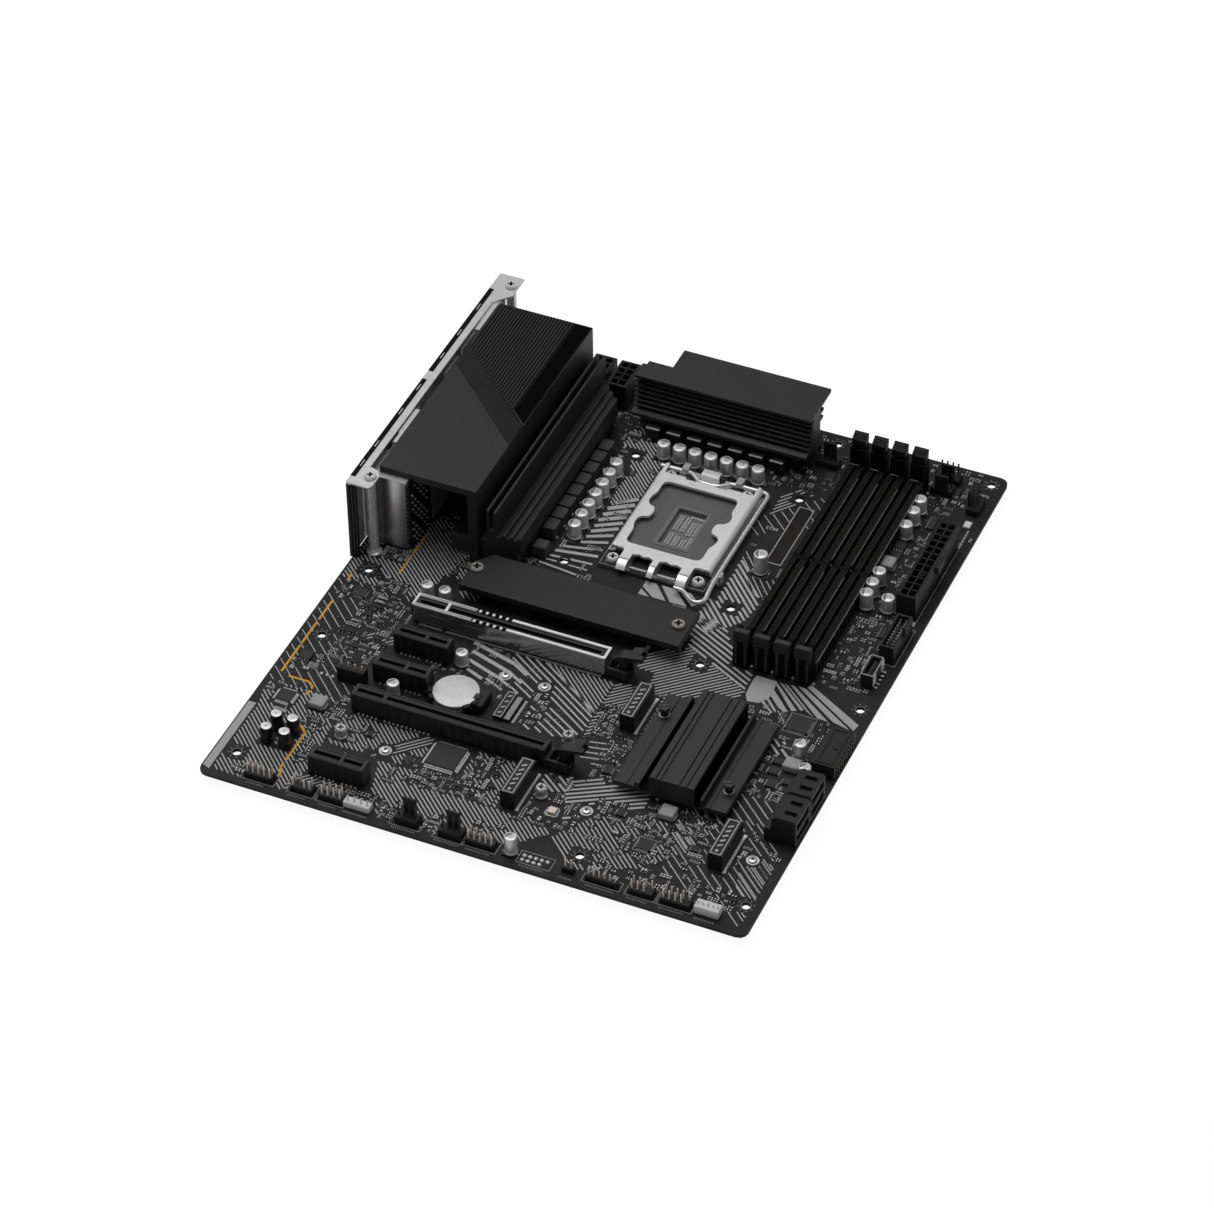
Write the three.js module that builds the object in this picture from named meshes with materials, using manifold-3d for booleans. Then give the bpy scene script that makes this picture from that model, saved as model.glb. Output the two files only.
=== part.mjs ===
// ATX motherboard: circuit board with its socket, slots, heatsinks, power and port connectors.
// Millimetres. +Z rises from the component side, +Y runs towards the processor edge and
// +X towards the front edge, away from the rear port panel. The origin is the centre of the
// board's underside. Pieces are placed in board coordinates (rear-lower corner = 0, 0)
// inside one group that is shifted by half the board.
import * as THREE from "three";
import { mergeVertices } from "three/addons/utils/BufferGeometryUtils.js";
import Module from "manifold-3d";

const wasm = await Module();
wasm.setup();

// ---- driving dimensions; places are [x, y] ----
const BOARD_X = 243.84;
const BOARD_Y = 304.8;
const BOARD_T = 1.6;
const GAP = 0.3; // clearance between neighbouring pieces
const SEAT = BOARD_T + GAP; // underside of parts that stand on the board
const MOUNT_HOLES = [
  [10.16, 16.51], [10.16, 95.25], [10.16, 140.97], [10.16, 298.45],
  [165.1, 16.51], [165.1, 140.97], [165.1, 298.45],
  [237.49, 16.51], [237.49, 140.97],
];
const UNPLATED_HOLE = [237.49, 298.45];
const SOCKET = [124.418, 217.714]; // processor socket centre
const COOLER_HALF = 39; // half of the cooler hole square
const COOLER_HOLES = [[-1, -1], [1, -1], [1, 1], [-1, 1]]
  .map(([i, j]) => [SOCKET[0] + i * COOLER_HALF, SOCKET[1] + j * COOLER_HALF]);
const SOCKET_SCREWS = [[106.5, 246.5], [143.0, 246.5], [105.2, 186.2], [145.2, 186.2]];
const SOCKET_SCREW_HOLE_R = 1.9;
const CHIPSET_PINS = [[166, 101.0], [208.2, 69.2]];
const M2_SCREWS = [[57.6, 150.4], [151.2, 150.4]];

// ---- materials ----
const LOOKS = {
  laminate: { color: 0x0d0d0e, roughness: 0.5, metalness: 0 },
  blackPlastic: { color: 0x141414, roughness: 0.55, metalness: 0 },
  latchPlastic: { color: 0x1a1a1b, roughness: 0.5, metalness: 0 },
  pinPlastic: { color: 0x202020, roughness: 0.5, metalness: 0 },
  socketPlastic: { color: 0x3a3b3d, roughness: 0.6, metalness: 0 },
  chip: { color: 0x1c3a28, roughness: 0.5, metalness: 0 },
  blackMetal: { color: 0x1c1c1c, roughness: 0.45, metalness: 0.7 },
  shroud: { color: 0x2a2a2b, roughness: 0.42, metalness: 0.6 },
  backplate: { color: 0x2b2c2e, roughness: 0.5, metalness: 0.7 },
  steel: { color: 0xb9bcbe, roughness: 0.35, metalness: 1 },
  bright: { color: 0xd6d6d4, roughness: 0.25, metalness: 1 },
  loadPlate: { color: 0xc9cbcc, roughness: 0.3, metalness: 1 },
  cell: { color: 0xc8c9c6, roughness: 0.3, metalness: 1 },
  shield: { color: 0xc4c6c7, roughness: 0.35, metalness: 0.9 },
  portShell: { color: 0xb0b2b4, roughness: 0.35, metalness: 0.9 },
  audioShell: { color: 0xa9abad, roughness: 0.35, metalness: 0.9 },
  antennaShell: { color: 0x9c9d9f, roughness: 0.4, metalness: 0.8 },
  headerShell: { color: 0x8f9193, roughness: 0.4, metalness: 0.9 },
};

// ---- shape helpers ----
const toVectors = (points) => points.map(([x, y]) => new THREE.Vector2(x, y));

function solid(geometry) {
  let welded = geometry.index ? geometry.toNonIndexed() : geometry.clone();
  welded.deleteAttribute("normal");
  welded.deleteAttribute("uv");
  welded = mergeVertices(welded, 1e-4);
  return new wasm.Manifold(
    new wasm.Mesh({
      numProp: 3,
      vertProperties: new Float32Array(welded.attributes.position.array),
      triVerts: new Uint32Array(welded.index.array),
    }),
  );
}

const union = (solids) => solids.reduce((sum, next) => sum.add(next));
const cut = (body, tools) => tools.reduce((rest, tool) => rest.subtract(tool), body);

const box = (x0, x1, y0, y1, z0, z1) =>
  solid(
    new THREE.BoxGeometry(x1 - x0, y1 - y0, z1 - z0)
      .translate((x0 + x1) / 2, (y0 + y1) / 2, (z0 + z1) / 2),
  );

// A plan area [x0, x1, y0, y1] drawn in by the same margin on all sides.
const inset = ([x0, x1, y0, y1], margin) => [x0 + margin, x1 - margin, y0 + margin, y1 - margin];

// Cylinders along Z, X and Y.
const cylinderZ = (x, y, z0, z1, radius, sides, topRadius = radius) =>
  solid(
    new THREE.CylinderGeometry(topRadius, radius, z1 - z0, sides)
      .rotateX(Math.PI / 2)
      .translate(x, y, (z0 + z1) / 2),
  );
const cylinderX = (y, z, x0, x1, radius, sides) =>
  solid(
    new THREE.CylinderGeometry(radius, radius, x1 - x0, sides)
      .rotateZ(Math.PI / 2)
      .translate((x0 + x1) / 2, y, z),
  );
const cylinderY = (x, z, y0, y1, radius, sides) =>
  solid(
    new THREE.CylinderGeometry(radius, radius, y1 - y0, sides).translate(x, (y0 + y1) / 2, z),
  );

function extrude(points, depth, holes = []) {
  const shape = new THREE.Shape(toVectors(points));
  for (const hole of holes) shape.holes.push(new THREE.Path(toVectors(hole)));
  return new THREE.ExtrudeGeometry(shape, { depth, bevelEnabled: false, steps: 1 });
}

const AXIS_X = new THREE.Vector3(1, 0, 0);
const AXIS_Y = new THREE.Vector3(0, 1, 0);
const AXIS_Z = new THREE.Vector3(0, 0, 1);
const TO_X = new THREE.Matrix4().makeBasis(AXIS_Y, AXIS_Z, AXIS_X);
const TO_Y = new THREE.Matrix4().makeBasis(AXIS_X, AXIS_Z, new THREE.Vector3(0, -1, 0));

// Prisms along Z, X and Y, from outlines in (x, y), (y, z) and (x, z).
const prismZ = (points, z0, z1, holes) =>
  solid(extrude(points, z1 - z0, holes).translate(0, 0, z0));
const prismX = (points, x0, x1) =>
  solid(extrude(points, x1 - x0).applyMatrix4(TO_X).translate(x0, 0, 0));
const prismY = (points, y0, y1) =>
  solid(extrude(points, y1 - y0).applyMatrix4(TO_Y).translate(0, y1, 0));

// Angles in degrees; both ends are included.
function arcPoints(x, y, radius, start, end, steps) {
  const points = [];
  for (let i = 0; i <= steps; i++) {
    const angle = ((start + ((end - start) * i) / steps) * Math.PI) / 180;
    points.push([x + radius * Math.cos(angle), y + radius * Math.sin(angle)]);
  }
  return points;
}
const circle = (x, y, radius, sides) =>
  arcPoints(x, y, radius, 0, 360 - 360 / sides, sides - 1);
const circles = (places, radius, sides) => places.map(([x, y]) => circle(x, y, radius, sides));
const quarterArc = (x, y, radius, start) => arcPoints(x, y, radius, start, start + 90, 3);
const roundRect = (x0, x1, y0, y1, radius) => [
  ...quarterArc(x1 - radius, y0 + radius, radius, -90),
  ...quarterArc(x1 - radius, y1 - radius, radius, 0),
  ...quarterArc(x0 + radius, y1 - radius, radius, 90),
  ...quarterArc(x0 + radius, y0 + radius, radius, 180),
];

// Upright ring round a hole.
const padRing = ([x, y], radius, holeRadius, z0, z1) =>
  prismZ(circle(x, y, radius, 12), z0, z1, [circle(x, y, holeRadius, 12)]);

// Upright screw or pin: a tapered head on a plain shank.
const headedPin = ([x, y], head, shank) =>
  union([
    cylinderZ(x, y, head.z0, head.z1, head.radius, head.sides, head.topRadius),
    cylinderZ(x, y, shank.z0, shank.z1, shank.radius, 8),
  ]);

// ---- scene graph ----
const root = new THREE.Group();
const board = new THREE.Group();
board.position.set(-BOARD_X / 2, -BOARD_Y / 2, 0);
root.add(board);

function piece(name, body, look) {
  const raw = body.getMesh();
  const geometry = new THREE.BufferGeometry();
  const positions = new Float32Array(raw.vertProperties);
  geometry.setAttribute("position", new THREE.BufferAttribute(positions, 3));
  geometry.setIndex(new THREE.BufferAttribute(new Uint32Array(raw.triVerts), 1));
  geometry.computeVertexNormals();
  const mesh = new THREE.Mesh(geometry, new THREE.MeshStandardMaterial(look));
  mesh.name = name;
  board.add(mesh);
}

// One piece per place, numbered from 1.
const numberedPieces = (name, places, build, look) =>
  places.forEach((place, i) => piece(`${name}_${i + 1}`, build(place), look));

// ---- laminate ----
const CORNER_R = 4;
const MOUNT_HOLE_R = 1.98;
const MOUNT_PAD_R = 4.4;
const MOUNT_PAD_H = 0.15; // stands below the underside
const COOLER_HOLE_R = 2.05;
const COOLER_PAD_R = 3.2;
const COOLER_PAD_H = 0.1; // stands above the component side

function laminate() {
  const holes = [
    ...circles([...MOUNT_HOLES, UNPLATED_HOLE], MOUNT_HOLE_R, 12),
    ...circles(COOLER_HOLES, COOLER_HOLE_R, 12),
    ...circles(SOCKET_SCREWS, SOCKET_SCREW_HOLE_R, 8),
    ...circles(CHIPSET_PINS, 1.6, 8),
  ];
  let pcb = prismZ(roundRect(0, BOARD_X, 0, BOARD_Y, CORNER_R), 0, BOARD_T, holes);
  // plated rings on the underside, where the chassis standoffs bear
  for (const place of MOUNT_HOLES)
    pcb = pcb.add(padRing(place, MOUNT_PAD_R, MOUNT_HOLE_R, -MOUNT_PAD_H, 0.5));
  // plated rings on the component side round the cooler holes
  for (const place of COOLER_HOLES)
    pcb = pcb.add(padRing(place, COOLER_PAD_R, COOLER_HOLE_R, 1, BOARD_T + COOLER_PAD_H));
  // fiducial at the board centre, underside: a dot inside a cleared ring
  pcb = pcb.subtract(padRing([BOARD_X / 2, BOARD_Y / 2], 2.2, 1.4, -0.5, 0.1));
  // soldered standoffs under the drive cover
  for (const [x, y] of M2_SCREWS)
    pcb = pcb.add(cut(cylinderZ(x, y, 1, 7, 2.6, 10), [cylinderZ(x, y, 2.5, 8, 1.5, 8)]));
  return pcb;
}
piece("pcb", laminate(), LOOKS.laminate);

// ---- rear ports: block with its openings, seen from -X ----
const PORT_FACE = -1.2;
const CUT_START = -2; // cuts begin clear behind the port faces

// three jacks high and two wide
function audioOpenings(block, y0, y1) {
  for (const z of [7.6, 20.2, 32.2])
    for (const y of [y0 + 4.9, y1 - 4.9])
      block = block.subtract(cylinderX(y, z, -3, 12, 1.9, 10));
  return block;
}

// two USB openings below a network jack
function lanOpenings(block, y0, y1) {
  return cut(block, [
    box(CUT_START, 12, y0 + 2.3, y1 - 2.3, 16.8, 27),
    ...[3.4, 10].map((z) => box(CUT_START, 12, y0 + 1.7, y0 + 14.7, z, z + 4.6)),
  ]);
}

function usbOpenings(block, y0, y1) {
  const openings = [3.6, 11, 18.4, 25.8]
    .map((z) => box(CUT_START, 12, y0 + 0.8, y1 - 0.8, z, z + 4));
  return cut(block, openings);
}

function displayOpenings(block, y0, y1) {
  const openings = [[3.6, 8.8], [14.4, 19.4]]
    .map(([z0, z1]) => box(CUT_START, 9, y0 + 1.4, y1 - 1.4, z0, z1));
  return cut(block, openings);
}

// shallow recess with two round sockets standing in it
function antennaOpenings(block, y0, y1, top) {
  const recess = box(CUT_START, 1.2, y0 + 1.2, y1 - 1.2, 3.4, top - 1.6);
  const sockets = [9.4, 22.6].map((z) => cylinderX((y0 + y1) / 2, z, PORT_FACE, 3, 2.9, 12));
  return union([block.subtract(recess), ...sockets]);
}

// two USB openings below a round opening
function roundAndUsbOpenings(block, y0) {
  return cut(block, [
    ...[3.6, 11].map((z) => box(CUT_START, 12, y0 + 0.8, y0 + 13.8, z, z + 4.6)),
    cylinderX(y0 + 8.6, 24.4, -3, 10, 6.2, 14),
  ]);
}

// name, y0, y1, top, depth (x of the inner face), openings, look
const PORTS = [
  ["audio_jack_stack", 160.2, 178.2, 38.2, 20.5, audioOpenings, LOOKS.audioShell],
  ["lan_usb_stack", 181.6, 198.4, 29.5, 21.5, lanOpenings, LOOKS.portShell],
  ["usb_stack_lower", 202.0, 216.6, 31.5, 18.0, usbOpenings, LOOKS.portShell],
  ["display_port_stack", 221.0, 239.0, 24.0, 19.5, displayOpenings, LOOKS.portShell],
  ["wifi_antenna_block", 243.4, 256.6, 30.5, 16.0, antennaOpenings, LOOKS.antennaShell],
  ["usb_stack_upper", 261.0, 283.6, 31.5, 18.0, roundAndUsbOpenings, LOOKS.portShell],
];

// ---- rear port panel, its posts and screws ----
const SHIELD = { x: -1.5, y0: 146.4, y1: 304.6, z0: 0.8, z1: 43 };
const POSTS = [[7, 153.1], [7, 297.5]];
const PORT_MARGIN = 0.5; // panel opening round each port

function ioShield() {
  const { x, y0, y1, z0, z1 } = SHIELD;
  const openings = PORTS.map(([, portY0, portY1, top]) =>
    box(-2, 0, portY0 - PORT_MARGIN, portY1 + PORT_MARGIN, 1.4, top + PORT_MARGIN));
  const plate = cut(box(x, -0.6, y0, y1, z0, z1), openings);
  // (x, y)
  const flangeOutline = [
    [x, y0], [9.6, y0], [10.4, 148.4], [10.4, 155.4], [8.0, 158.4], [4.0, 159.6],
    [4.0, 284.0], [10.4, 291.4], [10.4, y1], [x, y1],
  ];
  const flange = prismZ(flangeOutline, 42.2, z1, circles(POSTS, 1.7, 8));
  const lips = [[y1 - 0.9, y1], [y0, y0 + 0.9]]
    .map(([lipY0, lipY1]) => box(x, 0.8, lipY0, lipY1, z0 + 1.2, z1));
  return union([plate, flange, ...lips]);
}
piece("io_shield", ioShield(), LOOKS.shield);

const ioPost = ([x, y]) =>
  cut(cylinderZ(x, y, SEAT, 41.9, 2.5, 14), [cylinderZ(x, y, 34, 43, 1.5, 8)]);
const ioScrew = (place) =>
  headedPin(
    place,
    { z0: 43.3, z1: 44.7, radius: 2.6, topRadius: 2.2, sides: 12 },
    { z0: 35, z1: 43.6, radius: 1.15 },
  );
POSTS.forEach((place, i) => {
  piece(`io_post_${i + 1}`, ioPost(place), LOOKS.steel);
  piece(`io_screw_${i + 1}`, ioScrew(place), LOOKS.bright);
});

for (const [name, y0, y1, top, depth, addOpenings, look] of PORTS)
  piece(name, addOpenings(box(PORT_FACE, depth, y0, y1, SEAT, top), y0, y1, top), look);

// ---- shroud over the ports ----
const SHROUD = { x0: 6.7, x1: 52.4, y0: 162.6, y1: 285.7, top: 42, wall: 1.6 };

function ioShroud() {
  const { x0, x1, y0, y1, top, wall } = SHROUD;
  const shroud = union([
    box(x0, x1, y0, y1, top - 1.8, top),
    box(x1 - wall, x1, y0, y1, 16, top),
    box(x0, x1, y0, y0 + wall, top - 3.6, top),
    box(x0 + 16, x1, y1 - wall, y1, 16, top),
    box(x1 - 4.6, x1, y0, y0 + 2.4, SEAT, top),
    cylinderZ(30, y1 - 2.6, SEAT + 0.4, top, 2.2, 8),
  ]);
  // the walls are cut away above the processor power connector so that its plug clears them
  return shroud.subtract(box(46.6, 54, 281.8, 287, 2, 19));
}
piece("io_shroud", ioShroud(), LOOKS.shroud);

// ---- voltage regulator heatsinks ----
// (x, z)
const LEFT_HEATSINK = [
  [38, 4], [69.4, 4], [69.4, 10.4], [71.4, 10.8], [71.4, 19.4], [70.2, 19.8], [69.4, 18.0],
  [68.0, 17.8], [67.6, 19.2], [66.2, 19.2], [65.6, 17.2], [64.4, 17.0], [63.9, 18.8],
  [62.2, 18.6], [61.4, 17.0], [60.0, 17.0], [59.8, 30.2], [58.6, 30.4], [58.3, 20],
  [56.9, 20], [56.6, 30.8], [55.4, 31], [55.0, 13.2], [38, 13.2],
];
// (x, y), cut from the +X, +Y corner
const LEFT_HEATSINK_NOTCH = [[73, 268], [73, 284], [60.6, 284], [60.6, 281], [70, 270]];
// (y, z)
const TOP_HEATSINK = [
  [271.4, 10.6], [278.6, 10.6], [278.6, 4], [288.4, 4], [288.4, 20.6], [291.6, 20.6],
  [291.6, 22.2], [288.4, 22.2], [288.4, 24.4], [292.3, 24.4], [292.3, 26], [288.4, 26],
  [288.4, 28], [300.8, 28], [300.8, 30], [276.2, 30], [276.2, 28.4], [279.6, 28.4],
  [279.6, 26.4], [277.2, 26.4], [277.2, 25.5], [279.6, 25.5], [279.6, 24.2], [276.6, 24.2],
  [276.6, 23.3], [279.4, 23.3], [279.4, 22.0], [276.0, 22.0], [276.0, 21.1], [279.0, 21.1],
  [279.0, 19.8], [275.4, 19.8], [275.4, 18.9], [278.6, 18.9], [278.6, 17.6], [274.8, 17.6],
  [274.8, 16.7], [278.2, 16.7], [278.2, 15.4], [274.0, 15.4], [274.0, 14.5], [277.6, 14.5],
  [277.6, 13.4], [271.4, 12.6],
];
const leftHeatsink = () =>
  prismY(LEFT_HEATSINK, 165.6, 282.5).subtract(prismZ(LEFT_HEATSINK_NOTCH, 2, 26));
// the top flange is cut short at its -X end
const topHeatsink = () =>
  prismX(TOP_HEATSINK, 76.6, 160.4).subtract(box(70, 90.1, 285.2, 302, 27, 31));
piece("vrm_heatsink_left", leftHeatsink(), LOOKS.blackMetal);
piece("vrm_heatsink_top", topHeatsink(), LOOKS.blackMetal);

// ---- processor socket ----
const SOCKET_AREA = [104, 145, 192.8, 241.8];
const SOCKET_PAD = [117.4, 133.9, 201.4, 229.1];
const SOCKET_RIM = 1.6;

function socketBody() {
  const rim = cut(box(...SOCKET_AREA, 4.2, 5.5), [box(...inset(SOCKET_AREA, SOCKET_RIM), 4, 6)]);
  const body = union([box(...SOCKET_AREA, SEAT, 4.4), rim, box(...SOCKET_PAD, 4.2, 4.8)]);
  return body.subtract(box(...inset(SOCKET_PAD, SOCKET_RIM), 2.4, 6));
}
piece("socket_body", socketBody(), LOOKS.socketPlastic);

// (x, y)
const FRAME_OUTLINE = [
  [100.4, 182.4], [149.4, 182.4], [149.4, 189.2], [154.2, 189.2], [154.2, 192.8],
  [149.4, 192.8], [149.4, 249.6], [141, 249.6], [141, 254.2], [109, 254.2], [109, 249.6],
  [100.4, 249.6],
];
const FRAME_WINDOW = [[103.6, 192.4], [145.4, 192.4], [145.4, 242.2], [103.6, 242.2]];

function socketFrame() {
  const screwHoles = circles(SOCKET_SCREWS, SOCKET_SCREW_HOLE_R, 8);
  const hinges = [110.4, 136].flatMap((x) => [
    box(x, x + 3, 252.6, 254.2, 2.4, 7.3),
    box(x, x + 3, 249.8, 254.2, 6.4, 7.3),
  ]);
  const frame = union([
    prismZ(FRAME_OUTLINE, SEAT, 3.1, [FRAME_WINDOW, ...screwHoles]),
    ...hinges,
    // upright tab on the +X ear, then two along the -Y edge
    box(153.2, 154.2, 189.2, 192.8, 2.4, 7.2),
    box(114.6, 122.2, 182.4, 183.4, 2.4, 5),
    box(127.4, 135.6, 182.4, 183.4, 2.4, 5),
  ]);
  // cleared at the hinge end, where the load plate's tail swings down
  return frame.subtract(box(118.8, 129.8, 247.8, 255, 1, 4));
}
piece("socket_frame", socketFrame(), LOOKS.steel);

// ---- load plate: one stamping with a window, tabs and a hinge tail ----
// (x, y)
const LOAD_OUTLINE = [
  [102.3, 191.0], [108.2, 191.0], [109.0, 190.2], [109.0, 184.0], [113.5, 184.0],
  [113.5, 188.2], [123.3, 188.2], [123.3, 184.0], [126.2, 184.0], [126.2, 188.2],
  [136.7, 188.2], [136.7, 184.0], [141.5, 184.0], [141.5, 190.2], [142.3, 191.0],
  [148.8, 191.0], [148.8, 251.0], [146.4, 251.0], [146.4, 244.6], [134.2, 244.6],
  [134.2, 243.4], [115.0, 243.4], [115.0, 244.6], [104.7, 244.6], [104.7, 251.0],
  [102.3, 251.0],
];
const LOAD_WINDOW_R = 3.8;
const LOAD_WINDOW = [
  ...quarterArc(110.8, 198.8, LOAD_WINDOW_R, 180),
  ...quarterArc(138.5, 198.8, LOAD_WINDOW_R, -90),
  [142.3, 205.0], [143.9, 208.0], [143.9, 211.4], [142.4, 213.4], [139.6, 215.6],
  [139.6, 219.4], [142.4, 221.6], [143.9, 224.0], [143.9, 227.4], [142.3, 230.0],
  ...quarterArc(138.5, 235.5, LOAD_WINDOW_R, 0),
  ...quarterArc(110.8, 235.5, LOAD_WINDOW_R, 90),
  [107.0, 230.0], [105.7, 227.8], [105.7, 223.6], [107.2, 221.4], [110.0, 219.4],
  [110.0, 215.6], [107.2, 213.6], [105.7, 211.4], [105.7, 207.6], [107.0, 205.0],
];
// (y, z)
const LOAD_TAB = [[184.2, 6.3], [180.2, 4.2], [179.6, 5.2], [183.6, 7.5], [184.2, 7.5]];
const LOAD_TAIL = [
  [242.8, 6.4], [243.4, 3.5], [249.3, 3.5], [249.3, 7.1], [252.6, 7.1], [252.6, 7.9],
  [248.5, 7.9], [248.5, 4.3], [244.2, 4.3], [244.2, 7.4], [242.8, 7.4],
];
const LOAD_TAB_SPANS = [[109.0, 113.5], [136.7, 141.5], [123.3, 126.2]]; // x0, x1

function loadPlate() {
  return union([
    prismZ(LOAD_OUTLINE, 6.3, 7.5, [LOAD_WINDOW]),
    ...LOAD_TAB_SPANS.map(([x0, x1]) => prismX(LOAD_TAB, x0, x1)),
    // the tail passes under the lever's crank
    prismX(LOAD_TAIL, 119.8, 128.8),
  ]);
}
piece("load_plate", loadPlate(), LOOKS.loadPlate);

// ---- load lever: bent wire, cranked over the plate's tail ----
const HINGE_Y = 251;
const HINGE_Z = 5;
const LEVER_R = 0.95;
// x, y, height above the hinge axis
const LEVER_PATH = [
  [100.4, HINGE_Y, 0], [106, HINGE_Y, 0], [112, HINGE_Y, 0], [115.0, HINGE_Y - 0.3, 0],
  [117.6, HINGE_Y - 2.4, 0.3], [120.4, HINGE_Y - 4.8, 0.6], [124.4, HINGE_Y - 5.0, 0.6],
  [128.4, HINGE_Y - 4.8, 0.6], [131.4, HINGE_Y - 2.6, 0.3], [134.0, HINGE_Y - 0.3, 0],
  [137.4, HINGE_Y, 0], [143, HINGE_Y, 0], [148.6, HINGE_Y, 0], [150.9, HINGE_Y - 0.8, 0],
  [151.7, HINGE_Y - 3.2, 0], [151.7, 240, 0], [151.7, 220, 0], [151.7, 200, 0.2],
  [151.8, 188, 0.3], [152.4, 180, 0.4], [152.7, 175.4, 0.4], [150.6, 172.6, 0.4],
  [147.6, 172.8, 0.3], [144.2, 175.6, 0], [141.2, 177.6, 0], [137.4, 177.8, 0],
];

function loadLever() {
  const points = LEVER_PATH.map(([x, y, rise]) => new THREE.Vector3(x, y, HINGE_Z + rise));
  const extrudePath = new THREE.CatmullRomCurve3(points, false, "centripetal");
  const section = new THREE.Shape(toVectors(circle(0, 0, LEVER_R, 7)));
  return solid(
    new THREE.ExtrudeGeometry(section, { steps: 64, extrudePath, bevelEnabled: false }),
  );
}
piece("load_lever", loadLever(), LOOKS.bright);

const socketScrew = (place) =>
  headedPin(
    place,
    { z0: 3.45, z1: 5.3, radius: 2.5, topRadius: 2.1, sides: 12 },
    { z0: -2.1, z1: 3.8, radius: 1.45 },
  );
numberedPieces("socket_screw", SOCKET_SCREWS, socketScrew, LOOKS.bright);

const socketBackplate = () =>
  prismZ(roundRect(98.6, 150.8, 180.4, 252.4, 4), -2.2, -0.35, [
    roundRect(107, 142, 197, 238, 4),
    ...circles(SOCKET_SCREWS, SOCKET_SCREW_HOLE_R, 8),
  ]);
piece("socket_backplate", socketBackplate(), LOOKS.backplate);

// ---- cover over the drive slot ----
// (x, y)
const M2_COVER = [[54.6, 138.2], [156.4, 138.2], [156.4, 161.6], [60.6, 161.6], [54.6, 154.4]];
const m2Screw = (place) =>
  headedPin(
    place,
    { z0: 11.1, z1: 12, radius: 3, topRadius: 2.7, sides: 14 },
    { z0: 3.4, z1: 11.4, radius: 1.15 },
  );
piece("m2_heatsink", prismZ(M2_COVER, 7.4, 10.8, circles(M2_SCREWS, 1.8, 8)), LOOKS.blackMetal);
numberedPieces("m2_heatsink_screw", M2_SCREWS, m2Screw, LOOKS.bright);

// ---- chipset and its heatsink ----
// (x, z)
const CHIPSET_HEATSINK = [
  [162.2, 4.6], [212, 4.6], [212, 7.1], [205.0, 7.1], [204.8, 6.8], [204.6, 7.1],
  [203.2, 7.1], [203.2, 6.2], [202.0, 6.2], [201.8, 10.2], [200.6, 10.4], [200.4, 6.0],
  [198.2, 6.0], [198.0, 14.6], [197.5, 15], [195.0, 15], [194.9, 14.4], [194.5, 14.4],
  [194.4, 15], [191.9, 15], [191.8, 14.3], [191.3, 14.3], [191.2, 15], [183.7, 15],
  [183.6, 14.4], [183.2, 14.4], [183.1, 15], [181.5, 15], [181.4, 14.2], [180.9, 14.2],
  [180.8, 15], [178.5, 15], [178.0, 14.6], [177.8, 6.0], [174.0, 6.0], [173.8, 9.4],
  [171.6, 9.6], [171.2, 7.1], [168.4, 7.1], [168.2, 6.8], [168.0, 7.1], [162.2, 7.1],
];
const CHIPSET_AREA = [173, 201, 71.4, 99.4];

function chipsetHeatsink() {
  const pinHoles = CHIPSET_PINS.map(([x, y]) => cylinderZ(x, y, 3, 9, 1.8, 8));
  return cut(prismY(CHIPSET_HEATSINK, 56.8, 113.8), pinHoles);
}
const chipsetPin = (place) =>
  headedPin(
    place,
    { z0: 7.4, z1: 10.2, radius: 2.9, topRadius: 2.3, sides: 12 },
    { z0: -2.1, z1: 7.8, radius: 1.2 },
  );
const chipset = () =>
  union([box(...CHIPSET_AREA, SEAT, 2.8), box(...inset(CHIPSET_AREA, 7), 2.6, 4.2)]);
piece("chipset_heatsink", chipsetHeatsink(), LOOKS.blackMetal);
numberedPieces("chipset_pin", CHIPSET_PINS, chipsetPin, LOOKS.pinPlastic);
piece("chipset", chipset(), LOOKS.chip);

// ---- expansion slots, along X; slot positions count up from the -Y edge ----
const SLOT_PITCH = 20.32;
const SLOT_Y0 = 20.35;
const SLOT_X = 42.9; // rear end
const SLOT_HALF = 3.6;
const SLOT_TOP = 11.4;
const GROOVE_HALF = 0.95;
const X16_END = 131.2;
const X1_END = 68;
const slotY = (position) => SLOT_Y0 + SLOT_PITCH * position;

// housing with a card groove on each side of the key
function slotBody(y, end, half, top) {
  const grooves = [[SLOT_X + 1.6, 56.4], [58.2, end - 1.4]]
    .map(([x0, x1]) => box(x0, x1, y - GROOVE_HALF, y + GROOVE_HALF, 4, top + 1));
  return cut(box(SLOT_X, end, y - half, y + half, SEAT, top), grooves);
}

// narrower slot body that fits inside the metal shell
const shelledBody = (y) =>
  slotBody(y, X16_END - 1.6, 3.2, 10.9)
    .add(box(X16_END - 2.1, X16_END + 1.4, y - 3.2, y + 3.2, SEAT, 7.2));

function x16Slot(y, shelled) {
  const body = shelled ? shelledBody(y) : slotBody(y, X16_END, SLOT_HALF, SLOT_TOP);
  const tailStart = X16_END + (shelled ? 0.8 : -0.5);
  // tail of the slot: a cradle for the end latch, open at the far end
  return body
    .add(box(tailStart, 141.4, y - 4.1, y + 4.1, SEAT, 7.2))
    .subtract(box(132.8, 142, y - 2.9, y + 2.9, 3, 8));
}

function slotShell(y) {
  return cut(box(SLOT_X - 0.9, X16_END + 0.4, y - 3.95, y + 3.95, 2.6, 11.6), [
    box(SLOT_X - 0.3, X16_END - 1.2, y - 3.5, y + 3.5, 2, 11.2),
    box(X16_END - 2, X16_END + 1, y - 3.5, y + 3.5, 2, 7.5),
    box(SLOT_X + 1.2, X16_END - 1.8, y - 1.6, y + 1.6, 10, 12),
  ]);
}

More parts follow.
